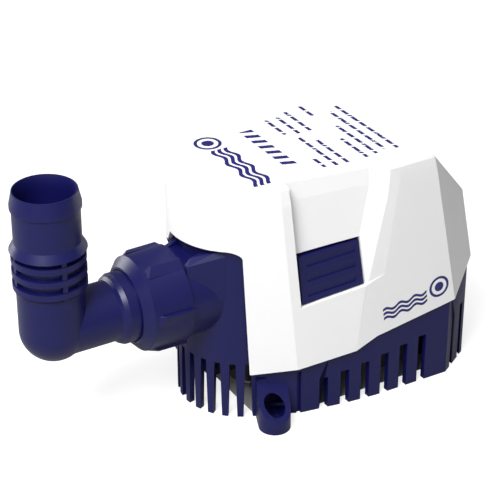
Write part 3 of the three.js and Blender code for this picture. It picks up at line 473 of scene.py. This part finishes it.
def printed(material):
    """Adds plain navy print on the top and low on the rear side panels: waves, a ring, bars and dashes."""
    tree = material.node_tree
    place = put(tree, "ShaderNodeTexCoord")
    parts = put(tree, "ShaderNodeSeparateXYZ")
    tree.links.new(place.outputs["Object"], parts.inputs["Vector"])
    x, y, z = (Field(tree, parts.outputs[axis]) * (1 / MM) for axis in "XYZ")
    striped = (y + x * BAR_LEAN).act("PINGPONG", BAR_PITCH / 2).act("GREATER_THAN", BAR_GAP / 2)
    bars = x.near(BARS_X, BARS_HALF) * y.within(*BARS_Y) * striped
    marks = waves(y, x, start=-27, end=12, middle=-3.5, height=9.5, pitch=12.0)
    marks = marks.act("MAXIMUM", drop(y, x, at=19.5, middle=-5.0, radius=6.2))
    marks = marks.act("MAXIMUM", bars)
    marks = marks.act("MAXIMUM", dashes(y, x, TOP_ROWS, start=-28, end=32, thick=0.85, dash=1.1))
    marks = marks * z.act("GREATER_THAN", BODY_TOP - TOP_DEPTH)
    along = x * math.cos(SIDE_SLOPE) + z * math.sin(SIDE_SLOPE)
    up = z * math.cos(SIDE_SLOPE) - x * math.sin(SIDE_SLOPE)
    side = waves(along, up, start=55.0, end=78.5, middle=34.6, height=7.0, pitch=7.8)
    side = side.act("MAXIMUM", drop(along, up, at=85.3, middle=36.6, radius=5.3))
    side = side * y.act("ABSOLUTE").act("GREATER_THAN", SIDE_FROM_Y) * z.act("LESS_THAN", SIDE_BELOW_Z)
    mask = marks.act("MAXIMUM", side)
    shader = tree.nodes["Principled BSDF"]
    under = shader.inputs["Base Color"].links[0].from_socket
    ink = put(tree, "ShaderNodeMix", data_type="RGBA")
    ink.inputs["B"].default_value = PRINT_COLOR
    tree.links.new(under, ink.inputs["A"])
    tree.links.new(mask.socket, ink.inputs["Factor"])
    tree.links.new(ink.outputs["Result"], shader.inputs["Base Color"])
    return material


MATERIALS = {
    "cover_white": printed(moulded("cover_white_plastic", (0.86, 0.86, 0.855), (0.83, 0.83, 0.83), 0.36)),
    "navy_plastic": moulded("navy_plastic", (0.0050, 0.0053, 0.073), (0.0038, 0.0041, 0.061), 0.38,
                            specular=0.35),
    "black_plastic": moulded("black_plastic", (0.020, 0.020, 0.022), (0.012, 0.012, 0.014), 0.48),
    "rubber": moulded("black_rubber", (0.018, 0.018, 0.018), (0.010, 0.010, 0.010), 0.78, bump=0.08),
    "float_plastic": moulded("float_plastic", (0.035, 0.036, 0.038), (0.022, 0.022, 0.024), 0.6, bump=0.06),
    "stainless": metal("stainless_steel", (0.62, 0.62, 0.63), 0.26),
    "plated_steel": metal("plated_steel", (0.50, 0.51, 0.53), 0.38),
    "brass": metal("brass", (0.66, 0.48, 0.19), 0.30),
    "ferrite": moulded("ferrite", (0.050, 0.050, 0.055), (0.030, 0.030, 0.033), 0.62, bump=0.12),
    "laminations": metal("laminations", (0.20, 0.20, 0.21), 0.45, stretch=(1, 1, 60)),
    "copper": metal("copper", (0.70, 0.30, 0.13), 0.30, stretch=(1, 1, 30)),
    "carbon": moulded("carbon", (0.030, 0.030, 0.032), (0.016, 0.016, 0.018), 0.7, bump=0.1),
    "circuit_board": moulded("circuit_board", (0.020, 0.150, 0.060), (0.012, 0.100, 0.040), 0.4),
    "glass": moulded("reed_glass", (0.60, 0.70, 0.66), (0.50, 0.60, 0.56), 0.08, bump=0.01),
}

# Every CAD node gets its slot's material. The detailed pieces below replace seven of the nodes.
for subpart in frame["record"]["subparts"]:
    node = frame["nodes"][subpart["node"]]
    node.data.materials.clear()
    node.data.materials.append(MATERIALS[subpart["material_slot"]])


# ---------------------------------------------------------------- cover

EDGE_TOP = BODY_TOP - 1
# Edges down the cover's +Y side, each from its top point to its low point.
STEP_LINE = ((49, 41, EDGE_TOP), (35.6, 41.8, 28))
FACET_LINE = ((56.2, 41.2, EDGE_TOP), (46.5, 42, 32.4))
CORNER_LINE = ((74.2, 41, EDGE_TOP), (88.5, 42.5, 39.2))
REAR_KINK = (101.4, 26.3, REAR_KINK_Z)
REAR_LOW = (108.05, 27.3, 49.3)


def edge_at(z, top, low):
    """The x and y at a height of a line through two points."""
    t = (top[2] - z) / (top[2] - low[2])
    return mix(top[0], low[0], t), mix(top[1], low[1], t)


def cover_half(z, steps):
    """The cover's outline at a height, from its nose round the +Y side to its rear."""
    tangent = 90 + FLANK_ANGLE
    nose = arc(NOSE_X, 0, NOSE_R, 180, tangent, steps)
    start_x, start_y = nose[-1]
    flank_x = edge_at(z, (FLANK_END_TOP, 0, EDGE_TOP), (FLANK_END_LOW, 0, FLANK_LOW_Z))[0]
    flank_end = (flank_x, start_y + (flank_x - start_x) * math.tan(math.radians(FLANK_ANGLE)))
    sides = [edge_at(z, *line) for line in (STEP_LINE, FACET_LINE, CORNER_LINE)]
    if z > REAR_KINK_Z:
        rear = edge_at(z, CORNER_LINE[0], REAR_KINK)
    else:
        rear = edge_at(z, REAR_KINK, REAR_LOW)
    return [*nose, flank_end, *sides, rear]


def cover_hull(lowest, wall, steps=40):
    """The cover as a solid, moved in by a wall. Its sides lean in above the band."""
    levels = [(lowest, 0), (REAR_KINK_Z, 0), (BAND_Z, 0), (EDGE_TOP - wall, BAND_LEAN),
              (BODY_TOP - wall * 1.1, BAND_LEAN + COVER_EDGE)]
    points = []
    for z, lean in levels:
        outline = whole_outline(cover_half(min(z, EDGE_TOP - 0.5), steps))
        points += [(x, y, z) for x, y in inset(outline, wall + lean)]
    return hull(points)


# The cover's lower edge, seen from the side.
LOWER_EDGE = [(-60, 23.7), (-11, 23.7), (7.15, 25.2), (35.65, 27.9), (46.5, 32.4),
              (88.5, 39.2), (108, 49.3), (130, 60.7)]
FAR_BELOW = -20
FAR_ABOVE = 200


def past_edge(offset, far_z):
    """Everything from the lower edge, raised by an offset, to a height far below or above it."""
    line = [(x, z + offset) for x, z in LOWER_EDGE]
    ends = [(LOWER_EDGE[-1][0], far_z), (LOWER_EDGE[0][0], far_z)]
    return prism(line + ends, -60, 60, "Y")


SIDE_HALF = 34.5
SIDE_TOP = 113.6
SIDE_FLARE = 0.119
SIDE_SPREAD = 0.0335
SIDE_PROUD = 0.1


def side_y(x, z):
    """Half width of the cover's side panel, which widens to the rear and downwards."""
    return SIDE_HALF + SIDE_FLARE * (x - FLANK_END_TOP) + SIDE_SPREAD * (SIDE_TOP - z) + SIDE_PROUD


# Pairs are at the recess's top and at its ledge.
RECESS_TOP = BODY_TOP + 3
RECESS_FRONT = (3.4, 9.0)
RECESS_REAR_IN = (44.6, 33.2)
RECESS_REAR_OUT = (49.8, 39.9)
RECESS_DEPTH_FRONT = 4.4
RECESS_DEPTH_REAR = 3.0
RECESS_FRONT_LEAN = 0.6
RECESS_REAR_SHARE = 0.4
CUT_REACH = 4
LEDGE_FRONT = 56.0
LEDGE_SLOPE = 0.15


def ledge_z(x):
    """The height of the ledge under the recess."""
    return LEDGE_FRONT + LEDGE_SLOPE * (x - RECESS_FRONT[1])


def recess(deeper):
    """The recess in the cover's side. A deeper one leaves a wall behind it."""
    front_top, front_low = RECESS_FRONT
    rear_top, rear_low = (x + deeper * RECESS_REAR_SHARE for x in RECESS_REAR_IN)

    def corner(x, z, depth):
        return Vector((x, side_y(x, z) - depth - deeper, z))

    def rear_out(inner, out_x):
        x = inner.x + (out_x - inner.x) * CUT_REACH
        return Vector((x, inner.y + RECESS_DEPTH_REAR * CUT_REACH, inner.z))

    def front_out(inner):
        return inner + Vector((-RECESS_FRONT_LEAN, CUT_REACH * RECESS_DEPTH_FRONT, 0))

    top_front = corner(front_top - deeper, RECESS_TOP, RECESS_DEPTH_FRONT)
    top_rear = corner(rear_top, RECESS_TOP, RECESS_DEPTH_REAR)
    low_front = corner(front_low - deeper, ledge_z(front_low) - deeper, RECESS_DEPTH_FRONT)
    low_rear = corner(rear_low, ledge_z(RECESS_REAR_IN[1]) - deeper, RECESS_DEPTH_REAR)
    out_top = rear_out(top_rear, RECESS_REAR_OUT[0] + deeper)
    out_low = rear_out(low_rear, RECESS_REAR_OUT[1] + deeper)
    out_low.z += LEDGE_SLOPE * (out_low.x - low_rear.x)
    return hull([top_front, top_rear, low_front, low_rear, front_out(top_front), front_out(low_front),
                 out_top, out_low])


def recess_band():
    """The floor of the recess leans in above the band, as the cover's sides do."""
    lean_top = BAND_LEAN * (RECESS_TOP - BAND_Z) / (EDGE_TOP - BAND_Z)
    points = []
    for z, lean in ((BAND_Z, 0), (RECESS_TOP, lean_top)):
        up = (z - LEDGE_FRONT) / (RECESS_TOP - LEDGE_FRONT)
        front = mix(RECESS_FRONT[1], RECESS_FRONT[0], up)
        rear = mix(RECESS_REAR_IN[1], RECESS_REAR_IN[0], up)
        rear_out = mix(RECESS_REAR_OUT[1], RECESS_REAR_OUT[0], up)
        inner = rear - lean * (rear_out - rear) / RECESS_DEPTH_REAR
        points += [(front, side_y(front, z) - RECESS_DEPTH_FRONT - lean, z),
                   (front, side_y(front, z) - 1, z),
                   (inner, side_y(inner, z) - RECESS_DEPTH_REAR - lean, z),
                   (rear, side_y(rear, z) - 1, z)]
    return hull(points)


RELIEF_SLOPE = 0.085
RELIEF_RISE = 0.3


def relief():
    """The shallow facet behind the recess, above the level of the ledge."""
    points = []
    for z, rise in ((RECESS_TOP, 0), (ledge_z(RECESS_REAR_OUT[1]), RELIEF_RISE)):
        step_x = edge_at(z, *STEP_LINE)[0] - 1
        facet_x, facet_y = edge_at(z, *FACET_LINE)
        step_y = facet_y - RELIEF_SLOPE * (facet_x - step_x)
        facet_z = z + rise * (facet_x - step_x)
        points += [(step_x, step_y, z), (facet_x, facet_y, facet_z), (step_x, step_y + CUT_REACH, z),
                   (facet_x, facet_y + CUT_REACH, facet_z)]
    return hull(points)


# The corners of a release tab's plate, in x and z.
TAB_LOW_FRONT = (10.1, 56.9)
TAB_LOW_REAR = (39.6, 60.6)
TAB_HIGH_REAR = (37.7, 82.2)
TAB_HIGH_FRONT = (9.3, 79.4)
TAB_LOW_Z = 57.0
TAB_HIGH_Z = 81.0
TAB_DEPTH_HIGH = 3.1
TAB_DEPTH_LOW = 1.2
TAB_THICK = 2.6
TAB_ROOT_Z = box_mm("release_tab_near")[0].z
TAB_SEAT_Z = TAB_ROOT_Z - GAP
NECK_FRONT = 14.0
NECK_REAR = 33.0
NECK_TOP = 62.0
NECK_OUTER = 2.9
NECK_INNER = 4.9
TAB_WINDOW = 0.9
TAB_TOP_GAP = 1.4


def tab_point(x, z, extra):
    """A point at an extra depth behind the tab's outer face."""
    t = (z - TAB_LOW_Z) / (TAB_HIGH_Z - TAB_LOW_Z)
    return x, side_y(x, z) - mix(TAB_DEPTH_LOW, TAB_DEPTH_HIGH, t) - extra, z


def slab(corners, front, back):
    return hull([tab_point(x, z, depth) for x, z in corners for depth in (front, back)])


def window_corners():
    """The corners of the window in the cover round a tab, in x and z."""
    return [(TAB_LOW_FRONT[0] - TAB_WINDOW, TAB_LOW_FRONT[1] - TAB_WINDOW * 0.6),
            (TAB_LOW_REAR[0] + TAB_WINDOW * 0.6, TAB_LOW_REAR[1] - TAB_WINDOW * 0.6),
            (TAB_HIGH_REAR[0] + TAB_WINDOW * 0.6, TAB_HIGH_REAR[1] + TAB_TOP_GAP),
            (TAB_HIGH_FRONT[0] - TAB_WINDOW, TAB_HIGH_FRONT[1] + TAB_TOP_GAP)]


GROMMET_Z = 62.0
GROMMET_HOLE = 5.3
GROMMET_BORE = 3.8
GROMMET_TILT = math.radians(10.6)
GROMMET_X = REAR_LOW[0] - (GROMMET_Z - REAR_LOW[2]) * math.tan(GROMMET_TILT)
GROMMET_PLACE = (Matrix.Translation((GROMMET_X, 0, GROMMET_Z)) @ Matrix.Rotation(-GROMMET_TILT, 4, "Y")
                 @ Matrix.Rotation(math.pi / 2, 4, "Y"))

OPENING_TOP = 86.0
OPENING_LOW = 10.0
OPENING_NEAR = 27.8
OPENING_NEAR_LOW = 29.4
OPENING_ROUND = 4.0
OPENING_FAR = 4.3
OPENING_FAR_R = 23.6
OPENING_TURN = 71.5
WINDOW_CUT = 12
COVER_ROUND = 0.3
COVER_ROUND_FROM = 3.5


def opening_outline():
    """The opening round the outlet, in YZ. Its far edge drops steeply and then follows the nut."""
    low = [(-OPENING_NEAR_LOW, OPENING_LOW), (OPENING_FAR_R, OPENING_LOW)]
    far = arc(0, AXIS_Z, OPENING_FAR_R, 0, OPENING_TURN, 24)
    near = arc(-OPENING_NEAR + OPENING_ROUND, OPENING_TOP - OPENING_ROUND, OPENING_ROUND, 90, 180, 30)
    return low + far + [(OPENING_FAR, OPENING_TOP)] + near


def make_cover():
    shell = cover_hull(15, 0)
    cut(shell, *both(recess(0)), *both(recess_band()), *both(relief()))
    hollow = cover_hull(10, COVER_WALL, 24)
    cut(hollow, *both(recess(COVER_WALL)))
    cut(shell, hollow, past_edge(0, FAR_BELOW))
    cut(shell, *both(slab(window_corners(), -WINDOW_CUT, WINDOW_CUT)))
    cut(shell, prism(opening_outline(), -60, -8, "X"))
    cable_hole = turned(rod(GROMMET_HOLE, -6, 6), facets=64)
    cable_hole.data.transform(GROMMET_PLACE)
    cut(shell, cable_hole)
    soften(shell, COVER_ROUND, angle=COVER_ROUND_FROM)
    return shell


cover = make_cover()
finish(cover, "cover_shell", "root", "cover_white", ["top_cover"], COVER_SMOOTH)


# ---------------------------------------------------------------- release tabs

GRIP_COUNT = 3
GRIP_LOWEST = 61.4
GRIP_HIGHEST = 75.4
GRIP_RISE = 4.6
GRIP_DEPTH = 0.7
GRIP_SLOPE = 0.105
GRIP_ENDS = (13, 36)
GRIP_MIDDLE = 25


def make_tab():
    plate = slab([TAB_LOW_FRONT, TAB_LOW_REAR, TAB_HIGH_REAR, TAB_HIGH_FRONT], 0, TAB_THICK)
    neck = hull([(x, side_y(x, z) - depth, z) for x in (NECK_FRONT, NECK_REAR)
                 for z in (TAB_ROOT_Z, NECK_TOP) for depth in (NECK_OUTER, NECK_INNER)])
    join(plate, neck)
    for i in range(GRIP_COUNT):
        low = mix(GRIP_LOWEST, GRIP_HIGHEST, i / (GRIP_COUNT - 1))
        points = []
        for x in GRIP_ENDS:
            foot = low + GRIP_SLOPE * (x - GRIP_MIDDLE)
            head = foot + GRIP_RISE
            points += [tab_point(x, foot, GRIP_DEPTH), tab_point(x, foot, -1),
                       tab_point(x, head, -0.05), tab_point(x, head, -1)]
        cut(plate, hull(points))
    soften(plate, 0.18, angle=8, segments=2)
    return plate


tab_far = make_tab()
tab_near = copy_of(tab_far, ACROSS)
finish(tab_near, "tab_near_moulding", "tab_near", "navy_plastic", ["release_tab_near"])
finish(tab_far, "tab_far_moulding", "tab_far", "navy_plastic", ["release_tab_far"])


# ---------------------------------------------------------------- strainer base

# The base's +Y side behind its round nose, in x and y.
BASE_SIDE = [(10.75, 36), (23.35, 38.1), (33.25, 39.8), (47.65, 41.2), (86.25, 41.7), (103.25, 31.1),
             (104.3, 0)]


def base_half(steps=40):
    """Half the base's outline: an arc round the nose that runs smoothly into its side."""
    corner = BASE_SIDE[0]
    reach = math.hypot(*corner)
    tangent = math.degrees(math.atan2(corner[1], corner[0]) + math.acos(BASE_NOSE_R / reach))
    return arc(0, 0, BASE_NOSE_R, 180, tangent, steps) + BASE_SIDE


FOOT = Vector((-5.25, 39))
FOOT_R = 7.2
FOOT_BORE = 4.75
FOOT_HOLE = 3.2
FOOT_FLOOR = 3.0
FOOT_OUT = Vector((-0.389, 0.921))
FOOT_WEB = 11.0
# The space over the foot's sloping top, in y and z.
FOOT_RAMP = [(60, 2), (FOOT.y + FOOT_R, 5.6), (30, 18), (30, 40), (60, 40)]
GROOVE_LOW = (8.6, 34.4, -1)
GROOVE_HIGH = (10.4, 40, 22)
FIN_FIRST = -4.5
FIN_STEP = 13.8
FIN_COUNT = 10
FIN_TOP = 27.7
FIN_HALF_TOP = 1.34
FIN_HALF_LOW = 2.1
SLOT_COUNT = 6
SLOT_FIRST = 19.15
SLOT_STEP = 10.14
SLOT_WIDTH = 4.2
SLOT_TOP = 16.0
SLOT_RISE = 1.66
# Slots at the rear corner: where each starts and ends in x, and its top.
CORNER_SLOTS = ((90.2, 92.8, 27.5), (98.2, 100.8, 28.9))
REAR_SLOT_STEP = 9
REAR_SLOT_HALF = 2
REAR_SLOT_TOP = 27
BLOCK_FRONT = -34.8
BLOCK_INNER = -12.5
# The block's near face leans from its root to its tip, in x and y.
BLOCK_ROOT = Vector((-19.5, -21.5))
BLOCK_TIP = Vector((BLOCK_FRONT, -15))
# The same face in x and z: its lower edge follows the nut.
BLOCK_FACE = [(BLOCK_TIP.x, 56), (-30.4, 55.9), (-27.8, 56.1), (-25.6, 56.6), (-23.4, 57.6),
              (-21.9, 58.8), (-20.4, 60.9), (BLOCK_ROOT.x, 63.6), (BLOCK_ROOT.x, 82),
              (BLOCK_TIP.x, 78.2)]
BOSS_R = 20.6


def make_outlet_block(outline):
    """The collar round the outlet, with a tapering block on its near side and a thin far wall."""
    boss = turned(rod(BOSS_R, BLOCK_FRONT, -15), ON_AXIS, "X")
    depth = BLOCK_ROOT.x - BLOCK_TIP.x
    points = [(x, mix(BLOCK_ROOT.y, BLOCK_TIP.y, (BLOCK_ROOT.x - x) / depth), z) for x, z in BLOCK_FACE]
    points += [(x, BLOCK_INNER, z) for x, z in BLOCK_FACE]
    points += [(-31.8, BLOCK_INNER, 80.7), (-22.3, -18.5, 84), (-22.3, BLOCK_INNER, 84)]
    far = prism([(BLOCK_FRONT, 70), (BLOCK_FRONT, 78.4), (-29.5, 81), (-20, 81), (-20, 70)], 4, 6.2, "Y")
    join(boss, hull(points), far)
    return cut(boss, prism(inset(outline, 1), 0, 100))


def make_tab_seat():
    """The pad that a release tab stands on."""
    points = [(x, side_y(x, TAB_SEAT_Z) - depth, z) for x in (NECK_FRONT - 1, NECK_REAR + 1)
              for depth in (NECK_OUTER, NECK_INNER) for z in (22, TAB_SEAT_Z)]
    return hull(points)


def make_base():
    outline = whole_outline(base_half())

    def core(low, high):
        below = prism(inset(outline, TOOTH_DEPTH), low, high)
        cut(below, past_edge(-TEETH_LOWER, FAR_ABOVE))
        return join(prism(inset(outline, BASE_WALL), low, high), below)

    base = prism(outline, 0, 62)
    cut(base, core(-1, 70), past_edge(-SEAM_GAP, FAR_ABOVE))
    spigot = prism(inset(outline, SPIGOT_INSET), 0, 66)
    cut(spigot, core(-1, 70), past_edge(SPIGOT_RISE, FAR_ABOVE))
    nose_wall = prism(outline, 0, NOSE_WALL_TOP)
    cut(nose_wall, prism(inset(outline, NOSE_WALL), -1, 90))
    common(nose_wall, box((-40, -40, 20), (-9.5, 40, 100)))

    pad = turned(rod(FOOT_R, 0, 20), (FOOT.x, FOOT.y, 0), facets=64)
    across = Vector((FOOT_OUT.y, -FOOT_OUT.x)) * FOOT_R
    back = FOOT_OUT * FOOT_WEB
    web = (FOOT + across, FOOT - across, FOOT - across - back, FOOT + across - back)
    join(pad, prism(web, 0, 20))
    cut(pad, prism(FOOT_RAMP, -30, 20, "X"))
    cut(pad, prism(inset(outline, 1), -1, 30))

    join(base, spigot, nose_wall, make_outlet_block(outline), *both(pad), *both(make_tab_seat()))

    cut(base, turned(rod(PORT_R + 0.4, -60, -15), ON_AXIS, "X"))
    cut(base, *both(box(GROOVE_LOW, GROOVE_HIGH)))
    cut(base, *both(box((NECK_FRONT - 1.5, 30, TAB_SEAT_Z), (NECK_REAR + 1.5, 46, 60))))
    wedge = [(-FIN_HALF_LOW, -1), (FIN_HALF_LOW, -1), (FIN_HALF_TOP, FIN_TOP), (-FIN_HALF_TOP, FIN_TOP)]
    for i in range(FIN_COUNT):
        angle = math.radians(180 - (FIN_FIRST + (i + 0.5 - FIN_COUNT / 2) * FIN_STEP))
        slot = prism(wedge, 20, 34, "X")
        slot.data.transform(Matrix.Rotation(angle, 4, "Z"))
        cut(base, slot)
    for i in range(SLOT_COUNT):
        x = SLOT_FIRST + SLOT_STEP * i
        cut(base, *both(box((x, 28, -1), (x + SLOT_WIDTH, 46, SLOT_TOP + SLOT_RISE * i))))
    for low, high, top in CORNER_SLOTS:
        cut(base, *both(box((low, 22, -1), (high, 46, top))))
    for i in range(-2, 3):
        y = i * REAR_SLOT_STEP
        cut(base, box((96, y - REAR_SLOT_HALF, -1), (108, y + REAR_SLOT_HALF, REAR_SLOT_TOP)))
    for radius, low, high in ((FOOT_BORE, FOOT_FLOOR, 40), (FOOT_HOLE, -1, 10)):
        cut(base, *both(turned(rod(radius, low, high), (FOOT.x, FOOT.y, 0), facets=48)))
    soften(base, 0.35, angle=6)
    return base


base = make_base()
finish(base, "base_moulding", "root", "navy_plastic", ["strainer_base"])


# ---------------------------------------------------------------- union nut and elbow

NUT_MOUTH = 16.3
NUT_SHOULDER = -53.6
NUT_BORE = PORT_R + GAP
RIB_COUNT = 6
RIB_FIRST = 50.5
# How far a rib stands out of the nut at three places along it.
RIB_LIFTS = ((NUT_REAR - 0.01, 1.4), (-49, 1.2), (-52, -0.6))


def make_rib(angle):
    """A rib of the nut: steep on one side and sloping away on the other."""
    points = []
    for x, lift in RIB_LIFTS:
        crest = NUT_R + lift
        points += [(x, NUT_R - 1.6, -0.4), (x, crest, 0.3), (x, crest, 0.9), (x, NUT_R - 0.8, 5.5)]
    rib = hull(points)
    rib.data.transform(Matrix.Translation(ON_AXIS) @ Matrix.Rotation(math.radians(angle), 4, "X"))
    return rib


def make_nut():
    inner = FLANGE_FRONT - GAP
    profile = [(NUT_BORE, NUT_REAR), (NUT_R, NUT_REAR), (NUT_R - 0.5, NUT_SHOULDER),
               (NUT_MOUTH + 1, NUT_FRONT), (NUT_MOUTH, NUT_FRONT), (NUT_MOUTH, inner), (NUT_BORE, inner)]
    body = turned(profile, ON_AXIS, "X")
    bore = turned(rod(NUT_BORE, -54, -30), ON_AXIS, "X")
    for i in range(RIB_COUNT):
        rib = make_rib(RIB_FIRST + 360 / RIB_COUNT * i)
        cut(rib, copy_of(bore))
        join(body, rib)
    bpy.data.objects.remove(bore)
    soften(body, 0.25, angle=18)
    return body


nut = make_nut()
finish(nut, "nut_moulding", "nut", "navy_plastic", ["union_nut"])


COLLAR_R = 15.9
FLANGE_R = 18.4
FLANGE_FACE = PORT_END - 2.4
STEM_R = 13.7
RING_R = 15.8
RING_HEIGHT = 2.8
RING_LOWS = (79.8, 85.9, 92.0)
MOUTH_R = 13.2
WEB_LOW = (12, -1.1, 79)
WEB_HIGH = (15.4, 1.1, 97)
LEG_PLACE = (ELBOW_X, 0, 0)


def dome(radius, steps):
    """The profile of the round bottom of the elbow's upright leg."""
    profile = arc(0, AXIS_Z, radius, -90, 0, steps)
    profile[0] = (0, AXIS_Z - radius)
    return profile


def make_leg():
    """The upright leg, with its three rings, its barb and the bead at its mouth."""
    profile = dome(LEG_R, 24) + [(LEG_R - 0.1, 78.4)]
    for low in RING_LOWS:
        high = low + RING_HEIGHT
        profile += [(STEM_R, low), (RING_R, low), (RING_R, high), (STEM_R, high)]
    profile += [(STEM_R, 96.9), (16.4, 97.2), (BARB_NECK, 101), (BARB_NECK, 115.7), (15, 116.3),
                (15, 118.2), (STEM_R, BARB_TOP), (0, BARB_TOP)]
    return turned(profile, LEG_PLACE)


def make_tail():
    """The pipe along the port's axis, with its collar and the flange that the nut holds."""
    profile = [(0, ELBOW_X), (PIPE_R, ELBOW_X), (PIPE_R, -65.4), (14.9, -64.2), (COLLAR_R, -62.2),
               (COLLAR_R, FLANGE_FRONT), (FLANGE_R, FLANGE_FRONT), (FLANGE_R, FLANGE_FACE),
               (0, FLANGE_FACE)]
    return turned(profile, ON_AXIS, "X")


def make_elbow():
    elbow = join(make_leg(), make_tail())
    for i in range(4):
        web = box(WEB_LOW, WEB_HIGH)
        web.data.transform(Matrix.Translation(LEG_PLACE) @ Matrix.Rotation(math.pi / 2 * i, 4, "Z"))
        join(elbow, web)
    bore = dome(ELBOW_BORE, 16) + [(ELBOW_BORE, BARB_TOP - 6), (MOUTH_R, BARB_TOP), (MOUTH_R, BARB_TOP + 1),
                                   (0, BARB_TOP + 1)]
    cut(elbow, turned(bore, LEG_PLACE, facets=96))
    cut(elbow, turned(rod(ELBOW_BORE, ELBOW_X, -40), ON_AXIS, "X", 96))
    soften(elbow, 0.2, angle=20)
    return elbow


elbow = make_elbow()
finish(elbow, "elbow_moulding", "elbow", "navy_plastic", ["discharge_elbow"])


# ---------------------------------------------------------------- cable grommet

def make_grommet():
    outer = GROMMET_HOLE + 2
    profile = [(GROMMET_BORE, -3.9), (outer - 0.6, -3.9), (outer, -3.3), (outer, -2.5),
               (GROMMET_HOLE - GAP, -2.5), (GROMMET_HOLE - GAP, GAP), (outer, GAP), (outer - 0.1, 0.7),
               (outer - 0.5, 1), (GROMMET_HOLE, 1.4), (GROMMET_BORE + 0.3, 1.4), (GROMMET_BORE, 1.1)]
    grommet = turned(profile, facets=96)
    grommet.data.transform(GROMMET_PLACE)
    return grommet


finish(make_grommet(), "grommet_ring", "root", "rubber", ["cable_grommet"])


# ---------------------------------------------------------------- camera, light and floor

VIEW_AZIMUTH = math.radians(329.49)
VIEW_ELEVATION = math.radians(29.33)
VIEW_DISTANCE = 0.80739
VIEW_TARGET = Vector((0.016115, 0.018753, 0.055813))
SENSOR = 36.0
LENS = 126.5508


def make_camera():
    data = bpy.data.cameras.new("camera")
    data.sensor_width = SENSOR
    data.lens = LENS
    data.clip_start = 0.05
    data.clip_end = 20
    camera = bpy.data.objects.new("camera", data)
    bpy.context.scene.collection.objects.link(camera)
    back = Vector((math.sin(VIEW_AZIMUTH) * math.cos(VIEW_ELEVATION),
                   -math.cos(VIEW_AZIMUTH) * math.cos(VIEW_ELEVATION), math.sin(VIEW_ELEVATION)))
    camera.location = VIEW_TARGET + back * VIEW_DISTANCE
    camera.rotation_euler = (-back).to_track_quat("-Z", "Y").to_euler()
    bpy.context.scene.camera = camera


LIT_POINT = Vector((0.0, 0.0, 0.06))


def make_light(name, place, size, power):
    """A round soft box that points at the pump."""
    data = bpy.data.lights.new(name, "AREA")
    data.shape = "DISK"
    data.size = size
    data.energy = power
    lamp = bpy.data.objects.new(name, data)
    lamp.location = place
    lamp.rotation_euler = (LIT_POINT - Vector(place)).to_track_quat("-Z", "Y").to_euler()
    bpy.context.scene.collection.objects.link(lamp)


FLOOR_REACH = 6
FLOOR_Z = -0.0002
FLOOR_GLOW = 0.75
# The floor under the pump's skirt, which doesn't glow: a painted shade patch, darker than the glowing floor
# round it.
SHADED = (Vector((-0.008, -0.034)), Vector((0.099, 0.034)))


def make_floor():
    """A pale floor that glows for the camera only, so that it reads as white paper, with painted shade
    under the pump where it doesn't glow.
    """
    bm = bmesh.new()
    corners = [(-FLOOR_REACH, -FLOOR_REACH), (FLOOR_REACH, -FLOOR_REACH),
               (FLOOR_REACH, FLOOR_REACH), (-FLOOR_REACH, FLOOR_REACH)]
    bm.faces.new([bm.verts.new((x, y, FLOOR_Z)) for x, y in corners])
    floor = new_object("floor", bm)
    material, tree, shader = node_tree("floor_paper")
    shader.inputs["Base Color"].default_value = (0.4, 0.4, 0.4, 1)
    shader.inputs["Roughness"].default_value = 0.9
    shader.inputs["Emission Color"].default_value = (1, 1, 1, 1)
    seen = Field(tree, put(tree, "ShaderNodeLightPath").outputs["Is Camera Ray"])
    parts = put(tree, "ShaderNodeSeparateXYZ")
    tree.links.new(put(tree, "ShaderNodeTexCoord").outputs["Object"], parts.inputs["Vector"])
    x, y = (Field(tree, parts.outputs[axis]) for axis in "XY")
    low, high = SHADED
    # Painted shade: the floor under the pump doesn't glow, so it reads darker there.
    under = x.within(low.x, high.x) * y.within(low.y, high.y)
    glow = seen * (under * -1 + 1) * FLOOR_GLOW
    tree.links.new(glow.socket, shader.inputs["Emission Strength"])
    floor.data.materials.append(material)


SKY_MEAN = 0.31
SKY_SWING = 0.26
SKY_BRIGHT = Vector((-0.75, -0.3, 0.6)).normalized()


def make_world():
    """A soft studio sky, brighter from the front left and above."""
    world = bpy.data.worlds.new("studio")
    world.use_nodes = True
    tree = world.node_tree
    sky = tree.nodes["Background"]
    sky.inputs["Color"].default_value = (1, 1, 1, 1)
    place = put(tree, "ShaderNodeTexCoord")
    facing = put(tree, "ShaderNodeVectorMath", operation="DOT_PRODUCT")
    facing.inputs[1].default_value = SKY_BRIGHT
    tree.links.new(place.outputs["Generated"], facing.inputs[0])
    light = Field(tree, facing.outputs["Value"]) * SKY_SWING + SKY_MEAN
    tree.links.new(light.socket, sky.inputs["Strength"])
    bpy.context.scene.world = world


make_camera()
make_world()
make_floor()
make_light("key", place=(-0.52, -0.36, 0.88), size=0.5, power=14)
make_light("fill", place=(-0.45, 0.95, 0.22), size=0.6, power=6)

bpy.context.scene.view_settings.view_transform = "Standard"
